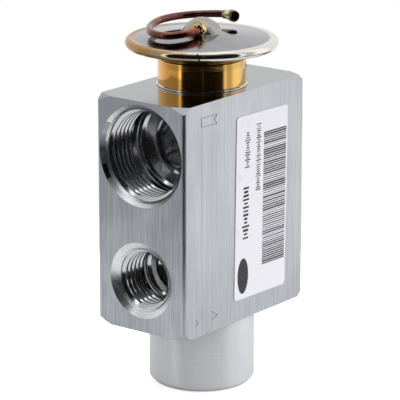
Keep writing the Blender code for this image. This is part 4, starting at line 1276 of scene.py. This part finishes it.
def geometry_tree(name, inputs):
    """A new geometry node tree with named inputs. Gives it, its input node and its output node."""
    tree = bpy.data.node_groups.new(name, "GeometryNodeTree")
    tree.interface.new_socket("Geometry", in_out="OUTPUT", socket_type="NodeSocketGeometry")
    tree.interface.new_socket("Geometry", in_out="INPUT", socket_type="NodeSocketGeometry")
    for key, kind in inputs.items():
        tree.interface.new_socket(key, in_out="INPUT", socket_type=kind)
    return tree, tree.nodes.new("NodeGroupInput"), tree.nodes.new("NodeGroupOutput")


def end_tree(tree, result, shape, material):
    """End a geometry node tree: instances made real, then their material."""
    real = node(tree, "GeometryNodeRealizeInstances", {"Geometry": shape})
    values = {"Geometry": real.outputs[0], "Material": material}
    dressed = node(tree, "GeometryNodeSetMaterial", values)
    tree.links.new(dressed.outputs[0], result.inputs[0])
    return tree


def set_tree(obj, tree, values):
    """Set a geometry node tree on an object, with values for its named inputs."""
    modifier = obj.modifiers.new(tree.name, "NODES")
    modifier.node_group = tree
    sockets = {item.name: item.identifier for item in tree.interface.items_tree}
    for key, value in values.items():
        modifier[sockets[key]] = value


def bent_tube_tree():
    """Tree that sweeps a round section along a curve and closes its ends."""
    inputs = {
        "Radius": "NodeSocketFloat",
        "Facets": "NodeSocketInt",
        "Unevenness": "NodeSocketFloat",
        "Finish": "NodeSocketMaterial",
    }
    tree, given, result = geometry_tree("bent tube", inputs)
    out = given.outputs
    values = {"Resolution": out["Facets"], "Radius": out["Radius"]}
    section = node(tree, "GeometryNodeCurvePrimitiveCircle", values)
    waves = node(tree, "ShaderNodeTexNoise", {"Scale": TUBE_WAVES, "Detail": 1.0})
    thinnest = calculate(tree, "SUBTRACT", 1.0, out["Unevenness"])
    low, high = NOISE_RANGE
    values = {"Value": waves.outputs[0], "From Min": low, "From Max": high, "To Min": thinnest}
    swell = node(tree, "ShaderNodeMapRange", {**values, "To Max": 1.0})
    values = {"Curve": out["Geometry"], "Radius": swell.outputs[0]}
    uneven = node(tree, "GeometryNodeSetCurveRadius", values)
    thickness = node(tree, "GeometryNodeInputRadius")
    values = {
        "Curve": uneven.outputs[0],
        "Profile Curve": section.outputs[0],
        "Scale": thickness.outputs[0],
        "Fill Caps": True,
    }
    swept = node(tree, "GeometryNodeCurveToMesh", values)
    return end_tree(tree, result, swept.outputs[0], out["Finish"])


def charge_tube(material):
    """The tarnished tube looped over the head, a little uneven from bending."""
    route = tube_route()
    covered = FERRULE_MOUTH_DEPTH + TUBE_END_GAP
    points = [point for point in route if (route[-1] - point).length > covered]
    points.append(along_route(route, covered)[0])
    curve = bpy.data.curves.new("looped_tube", "CURVE")
    curve.dimensions = "3D"
    spline = curve.splines.new("POLY")
    spline.points.add(len(points) - 1)
    for knot, point in zip(spline.points, points):
        knot.co = (*point, 1)
    wire = show("looped_tube", curve)
    values = {
        "Radius": TUBE_RADIUS,
        "Facets": TUBE_FACETS,
        "Unevenness": TUBE_UNEVENNESS,
        "Finish": material,
    }
    set_tree(wire, bent_tube_tree(), values)
    mesh = finished_mesh(wire)
    bpy.data.objects.remove(wire)
    return smooth(show("looped_tube", mesh), TUBE_SHARP_ANGLE)


def ferrule(skin_finish, mouth_finish):
    """The flared collar on the tube's free end, black inside its mouth with painted shade."""
    bore = TUBE_RADIUS + FERRULE_CLEARANCE
    inside = FERRULE_MOUTH_DEPTH + FERRULE_CLEARANCE
    rest = FERRULE_LENGTH - inside
    inner = [(bore, inside + rest * n / FERRULE_REACHES) for n in range(FERRULE_REACHES + 1)]
    outer = [
        (bore, FERRULE_LENGTH),
        (FERRULE_WAIST_RADIUS, FERRULE_LENGTH),
        (FERRULE_WAIST_RADIUS, FERRULE_LENGTH - FERRULE_WAIST_LENGTH),
        *[(FERRULE_RADIUS - inset, reach) for inset, reach in FERRULE_FLARE],
        (FERRULE_MOUTH_RADIUS, 0),
        (FERRULE_MOUTH_RADIUS, FERRULE_MOUTH_DEPTH),
    ]
    outline = [*inner, *softened(outer, FERRULE_CURVE, 4)[1:]]
    shape = turned(outline, SMALL_FACETS, ring=True)
    mouth = (FERRULE_MOUTH_RADIUS + FERRULE_RADIUS) / 2 - FERRULE_LIP_MARGIN
    for face in shape.faces:
        centre = face.calc_center_median()
        face.material_index = int(math.hypot(centre.x, centre.y) < mouth and centre.z < inside)
    route = tube_route()
    for corner in shape.verts:
        centre, heading = along_route(route, corner.co.z)
        side = heading.cross(Vector((0, 0, 1))).normalized()
        corner.co = centre + side * corner.co.x + side.cross(heading) * corner.co.y
    bmesh.ops.recalc_face_normals(shape, faces=shape.faces)
    collar = piece("flared_ferrule", shape, skin_finish)
    collar.data.materials.append(mouth_finish)
    return smooth(collar)


def braze_blob(material):
    """The lump of brazing metal where the tube enters the dome."""
    shape = turned(softened(BRAZE_OUTLINE, BRAZE_CURVE, 6), LUMP_FACETS, ring=True)
    for corner in shape.verts:
        off_axis = math.hypot(corner.co.x, corner.co.y)
        if off_axis > TUBE_RADIUS + BRAZE_COLLAR:
            push = sum(depth * noise.noise(corner.co * scale) for scale, depth in BRAZE_LUMPS)
            corner.co *= 1 + push / off_axis
    bmesh.ops.recalc_face_normals(shape, faces=shape.faces)
    reach = math.sqrt(DOME_RADIUS**2 - TUBE_ENTRY_HEIGHT**2)
    blob = piece("braze_lump", shape, material, along_entry(reach - BRAZE_SINK))
    trim_under_plate(blob)
    return smooth(blob, BRAZE_SHARP_ANGLE)


def trim_under_plate(blob):
    """Cut a lump off just inside the dome's and the cover's skin."""
    outline = dome_skin(-SHELL_WALL / 2, DOME_TRIM_STEPS)
    outline += [(PLATE_EDGE_RADIUS, PLATE_EDGE_Z - SHELL_WALL / 2)]
    outline += [(PLATE_EDGE_RADIUS, HEM_Z - HEM_RADIUS), (0, HEM_Z - HEM_RADIUS)]
    carve(blob, piece("plate_trim", turned(outline, BORE_FACETS)))


def adjusting_screw(material):
    """The threaded plug with a hexagon socket in its lower end."""
    thread = Thread(
        start=SCREW_THREAD_RUN_IN,
        end=SCREW_THREAD_LENGTH - SCREW_THREAD_RUN_OUT,
        start_radius=SCREW_ROOT_RADIUS,
        end_radius=SCREW_ROOT_RADIUS,
        crest=SCREW_ROOT_RADIUS,
        root=SCREW_THREAD_RADIUS,
        pitch=SCREW_PITCH,
    )
    length = SCREW_TOP - SCREW_BOTTOM
    steps = [
        (0, 0),
        (SCREW_ROOT_RADIUS - SMALL_CHAMFER, 0),
        (SCREW_ROOT_RADIUS, SMALL_CHAMFER),
        thread,
        (SCREW_BODY_RADIUS, SCREW_THREAD_LENGTH),
        (SCREW_BODY_RADIUS, SCREW_GROOVE_RISE),
        (SCREW_GROOVE_RADIUS, SCREW_GROOVE_RISE),
        (SCREW_GROOVE_RADIUS, SCREW_GROOVE_RISE + SCREW_GROOVE_WIDTH),
        (SCREW_BODY_RADIUS, SCREW_GROOVE_RISE + SCREW_GROOVE_WIDTH),
        (SCREW_BODY_RADIUS, length - SMALL_CHAMFER),
        (SCREW_BODY_RADIUS - SMALL_CHAMFER, length),
        (0, length),
    ]
    screw = piece("adjusting_plug", turned(steps, BORE_FACETS), material, standing(SCREW_BOTTOM))
    key = [
        (0, -OVERRUN),
        (KEY_CORNER_RADIUS, -OVERRUN),
        (KEY_CORNER_RADIUS, KEY_DEPTH),
        (0, KEY_DEPTH + KEY_POINT_DEPTH),
    ]
    lead = [
        (0, -OVERRUN),
        (KEY_LEAD_RADIUS, -OVERRUN),
        (KEY_LEAD_RADIUS, 0),
        (KEY_LEAD_FLOOR_RADIUS, KEY_LEAD_DEPTH),
        (0, KEY_LEAD_DEPTH),
    ]
    carve(screw, piece("key_socket", turned(key, KEY_SIDES), place=standing(SCREW_BOTTOM)))
    carve(screw, piece("key_lead", turned(lead, SMALL_FACETS), place=standing(SCREW_BOTTOM)))
    return smooth(screw)


def on_label():
    """Place whose +X runs across the label, +Y up it and +Z out of it."""
    axes = Matrix(((0, 0, 1, 0), (1, 0, 0, 0), (0, 1, 0, 0), (0, 0, 0, 1)))
    return Matrix.Translation(LABEL_CENTRE) @ Matrix.Rotation(LABEL_TILT, 4, "X") @ axes


def chance(tree, least, most, seed):
    """A random number between two others."""
    made = node(tree, "FunctionNodeRandomValue", {"Seed": seed}, data_type="FLOAT")
    numbers = [socket for socket in made.inputs if socket.type == "VALUE" and socket.enabled]
    for socket, value in zip(numbers, (least, most)):
        if isinstance(value, bpy.types.NodeSocket):
            tree.links.new(value, socket)
        else:
            socket.default_value = value
    return [socket for socket in made.outputs if socket.enabled][0]


def print_row_tree():
    """Tree that sets a row of printed strokes up a field, with random heights and widths."""
    inputs = {
        "Count": "NodeSocketInt",
        "Width": "NodeSocketFloat",
        "Height": "NodeSocketFloat",
        "Least": "NodeSocketFloat",
        "Most": "NodeSocketFloat",
        "Narrowest": "NodeSocketFloat",
        "Ink": "NodeSocketFloat",
        "Seed": "NodeSocketInt",
        "Finish": "NodeSocketMaterial",
    }
    tree, given, result = geometry_tree("row of printed strokes", inputs)
    out = given.outputs
    stride = calculate(tree, "DIVIDE", out["Height"], out["Count"])
    half = calculate(tree, "MULTIPLY", stride, 0.5)
    lowest = calculate(tree, "MULTIPLY_ADD", out["Height"], -0.5, half)
    start = node(tree, "ShaderNodeCombineXYZ", {"Y": lowest})
    offset = node(tree, "ShaderNodeCombineXYZ", {"Y": stride})
    values = {"Count": out["Count"], "Start Location": start.outputs[0], "Offset": offset.outputs[0]}
    line = node(tree, "GeometryNodeMeshLine", values)
    size = node(tree, "ShaderNodeCombineXYZ", {"X": out["Width"], "Y": stride, "Z": out["Ink"]})
    block = node(tree, "GeometryNodeMeshCube", {"Size": size.outputs[0]})
    tall = chance(tree, out["Least"], out["Most"], out["Seed"])
    wide = chance(tree, out["Narrowest"], 1.0, calculate(tree, "MULTIPLY", out["Seed"], 7.0))
    scale = node(tree, "ShaderNodeCombineXYZ", {"X": wide, "Y": tall, "Z": 1.0})
    values = {"Points": line.outputs[0], "Instance": block.outputs[0], "Scale": scale.outputs[0]}
    placed = node(tree, "GeometryNodeInstanceOnPoints", values)
    return end_tree(tree, result, placed.outputs[0], out["Finish"])


def label_print(material):
    """Generic stripes, rows of strokes and a plain mark in the label's print fields."""
    tree = print_row_tree()
    pieces = []
    for field in PRINT_FIELDS:
        row = piece(field.name, bmesh.new())
        values = {
            "Count": field.count,
            "Width": field.width,
            "Height": field.height,
            "Least": field.least,
            "Most": field.most,
            "Narrowest": field.narrowest,
            "Ink": INK_THICKNESS,
            "Seed": field.seed,
            "Finish": material,
        }
        set_tree(row, tree, values)
        settle(row)
        row.data.transform(on_label() @ Matrix.Translation((field.across, field.up, INK_THICKNESS / 2)))
        pieces.append(row)
    mark = turned([(0, 0), (1, 0), (1, INK_THICKNESS), (0, INK_THICKNESS)], SMALL_FACETS)
    size = Matrix.Diagonal((SEAL_MARK_HALF_WIDTH, SEAL_MARK_HALF_HEIGHT, 1, 1))
    place = on_label() @ Matrix.Translation((*SEAL_MARK, 0)) @ size
    pieces.append(piece("label_mark", mark, material, place))
    return pieces


def drawn_to(tree, level, target, share):
    """A level moved that share of the way to another."""
    return calculate(tree, "MULTIPLY_ADD", share, calculate(tree, "SUBTRACT", target, level), level)


def studio_world():
    """Soft surround: white behind and above, a dark gap round the camera, bright strips beside it."""
    world = bpy.data.worlds.new("studio")
    world.use_nodes = True
    tree = world.node_tree
    tree.nodes.clear()
    direction = node(tree, "ShaderNodeTexCoord").outputs["Generated"]
    parts = node(tree, "ShaderNodeSeparateXYZ", {"Vector": direction}).outputs
    angle = calculate(tree, "ARCTAN2", parts[1], parts[0])
    beside = calculate(tree, "SUBTRACT", angle, CAMERA_HEADING)
    wrapped = calculate(tree, "WRAP", beside, math.pi, -math.pi)
    share = calculate(tree, "MULTIPLY_ADD", wrapped, 1 / math.tau, 0.5)
    ramp = node(tree, "ShaderNodeValToRGB", {"Fac": share})
    stops = ramp.color_ramp.elements
    while len(stops) > 1:
        stops.remove(stops[-1])
    for index, (degrees, level) in enumerate(STUDIO_BANDS):
        place = (degrees + 180) / 360
        stop = stops[0] if index == 0 else stops.new(place)
        stop.position = place
        shade = level / STUDIO_BRIGHTEST
        stop.color = (shade, shade, shade, 1)
    level = calculate(tree, "MULTIPLY", ramp.outputs[0], STUDIO_BRIGHTEST)
    haze = spread(tree, parts[2], *STUDIO_HAZE_EDGE, to_high=STUDIO_HAZE)
    level = calculate(tree, "MAXIMUM", level, haze)
    skirt = spread(tree, parts[2], *STUDIO_SKIRT, 1.0, STUDIO_SKIRT_SHADE)
    level = calculate(tree, "MULTIPLY", level, skirt)
    level = drawn_to(tree, level, STUDIO_ABOVE, spread(tree, parts[2], *STUDIO_BAND_TOP))
    level = drawn_to(tree, level, STUDIO_BELOW, spread(tree, parts[2], *STUDIO_BAND_BOTTOM))
    seen = node(tree, "ShaderNodeLightPath").outputs["Is Camera Ray"]
    level = drawn_to(tree, level, 1.0, seen)
    back = node(tree, "ShaderNodeBackground", {"Color": (1, 1, 1, 1), "Strength": level})
    out = node(tree, "ShaderNodeOutputWorld")
    tree.links.new(back.outputs[0], out.inputs[0])
    bpy.context.scene.world = world


def studio_floor():
    """A pale round floor that shows white and keeps the valve's shadow."""
    material = bpy.data.materials.new("studio_floor")
    material.use_nodes = True
    tree = material.node_tree
    tree.nodes.clear()
    seen = node(tree, "ShaderNodeLightPath").outputs["Is Camera Ray"]
    lift = calculate(tree, "MULTIPLY", seen, FLOOR_LIFT)
    shade = node(tree, "ShaderNodeBsdfDiffuse", {"Color": FLOOR_SHADE})
    glow = node(tree, "ShaderNodeEmission", {"Strength": lift})
    both = node(tree, "ShaderNodeAddShader", {0: shade.outputs[0], 1: glow.outputs[0]})
    out = node(tree, "ShaderNodeOutputMaterial", {"Surface": both.outputs[0]})
    out.is_active_output = True
    shape = bmesh.new()
    bmesh.ops.create_circle(shape, cap_ends=True, segments=FLOOR_FACETS, radius=FLOOR_RADIUS)
    piece("studio_floor", shape, material, standing(-FLOOR_DROP))


def studio_shade_card():
    """A dark card behind the rear suction port, seen only in reflections inside the bore: a sheet of
    painted shade that darkens the bore.
    """
    material, _, _ = finish("studio_shade_card", 0.0, 0.9, {"Base Color": linear(20, 20, 22)})
    shape = bmesh.new()
    bmesh.ops.create_circle(shape, cap_ends=True, segments=CARD_FACETS, radius=CARD_RADIUS)
    card = piece("studio_shade_card", shape, material, into_rear(SUCTION_Z) @ standing(-CARD_GAP))
    card.visible_camera = False
    card.visible_shadow = False


def soft_lamp(name, place, power):
    """A large soft lamp that looks at the valve."""
    data = bpy.data.lights.new(name, "AREA")
    data.size = LAMP_SIZE
    data.energy = power
    lamp = show(name, data)
    aim = LAMP_AIM - Vector(place)
    lamp.matrix_world = Matrix.Translation(place) @ aim.to_track_quat("-Z", "Y").to_matrix().to_4x4()
    lamp.visible_glossy = False


def camera():
    """The photograph's viewpoint."""
    data = bpy.data.cameras.new("camera")
    data.lens = CAMERA_LENS
    data.sensor_width = CAMERA_SENSOR
    data.clip_start = CAMERA_CLIP_START
    view = show("camera", data)
    view.matrix_world = CAMERA_PLACE
    bpy.context.scene.camera = view


def dress(obj, body, slot, *replaced):
    """Let a finished piece ride on a body, and hide the CAD parts that it stands for; the material slot
    given is not used.
    """
    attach(obj, body)
    if replaced:
        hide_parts(*replaced)


camera()
studio_world()
studio_floor()
studio_shade_card()
for lamp_values in LAMPS:
    soft_lamp(*lamp_values)
bpy.context.scene.view_settings.view_transform = "Standard"

body_finishes = {
    "label_side": drawn_aluminium(
        "label_side_aluminium",
        (184, 188, 193),
        (208, 211, 216),
        roughness=0.36,
        patch_strength=0.25,
        painted_top_shade=0.0,
    ),
    # Painted shade: the port side's darker tones than the label side's stand for shade on the same
    # aluminium
    "port_side": drawn_aluminium(
        "port_side_painted_shade_aluminium",
        (167, 170, 178),
        (202, 206, 211),
        roughness=0.34,
        patch_strength=0.5,
        painted_top_shade=0.42,
    ),
    "end_face": milled_aluminium(),
    "housing": turned_aluminium(),
    "bore": bored_aluminium(
        "bored_aluminium",
        (196, 197, 200),
        (224, 225, 227),
        sharpest=0.08,
        dullest=0.18,
        tooling=0.3,
    ),
    # Painted light: the sealing cones' paler tones than the bore's make them read lighter; their duller
    # finish is their own
    "port_mouth": bored_aluminium(
        "countersunk_painted_light_aluminium",
        (228, 229, 231),
        (246, 247, 248),
        sharpest=0.26,
        dullest=0.34,
        tooling=0.1,
    ),
    "scribed": mottled("scribed_mark"),
}
steel_bright = turned_metal("ground_steel", (150, 150, 153), (206, 206, 208), roughness=0.16)
steel_dark = turned_metal("rolled_spring_steel", (96, 97, 100), (158, 158, 161), roughness=0.3)
brass = turned_metal("turned_brass", (172, 132, 62), (226, 190, 116), roughness=0.24)
rubber = mottled("black_rubber")

dress(valve_body(body_finishes), "housing", "aluminium", "valve_body")
dress(neck(gold_passivate()), "housing", "passivated_steel", "head_neck")
dress(upper_shell(polished_shell()), "housing", "polished_steel", "head_upper_shell")
# The pressed plate's dark colour is painted shade under the rim
dress(lower_shell(mottled("painted_shade_plate")), "housing", "polished_steel", "head_lower_shell")
dress(charge_tube(tarnished_copper()), "housing", "copper", "charge_tube")
collar = ferrule(mottled("pale_ferrule"), mottled("painted_shade_mouth"))
dress(collar, "housing", "brazing_metal", "tube_ferrule")
dress(braze_blob(mottled("flowed_braze")), "housing", "brazing_metal", "braze_fillet")
dress(adjusting_screw(brass), "adjuster", "brass", "adjusting_screw")
for printed in label_print(mottled("printed_ink")):
    dress(printed, "housing", "paper")

CARRIED_FINISHES = {
    "label": label_paper(),
    "neck_o_ring": rubber,
    "rod_o_ring": rubber,
    "screw_o_ring": rubber,
    "diaphragm": steel_dark,
    "rod_seal_washer": steel_dark,
    "damping_ring": steel_dark,
    "superheat_spring": steel_dark,
    "push_rod": steel_bright,
    "valve_ball": steel_bright,
    "diaphragm_pad": brass,
    "ball_carrier": brass,
    "spring_seat": brass,
}
for name, material in CARRIED_FINISHES.items():
    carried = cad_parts[name]
    carried.data.materials.clear()
    carried.data.materials.append(material)
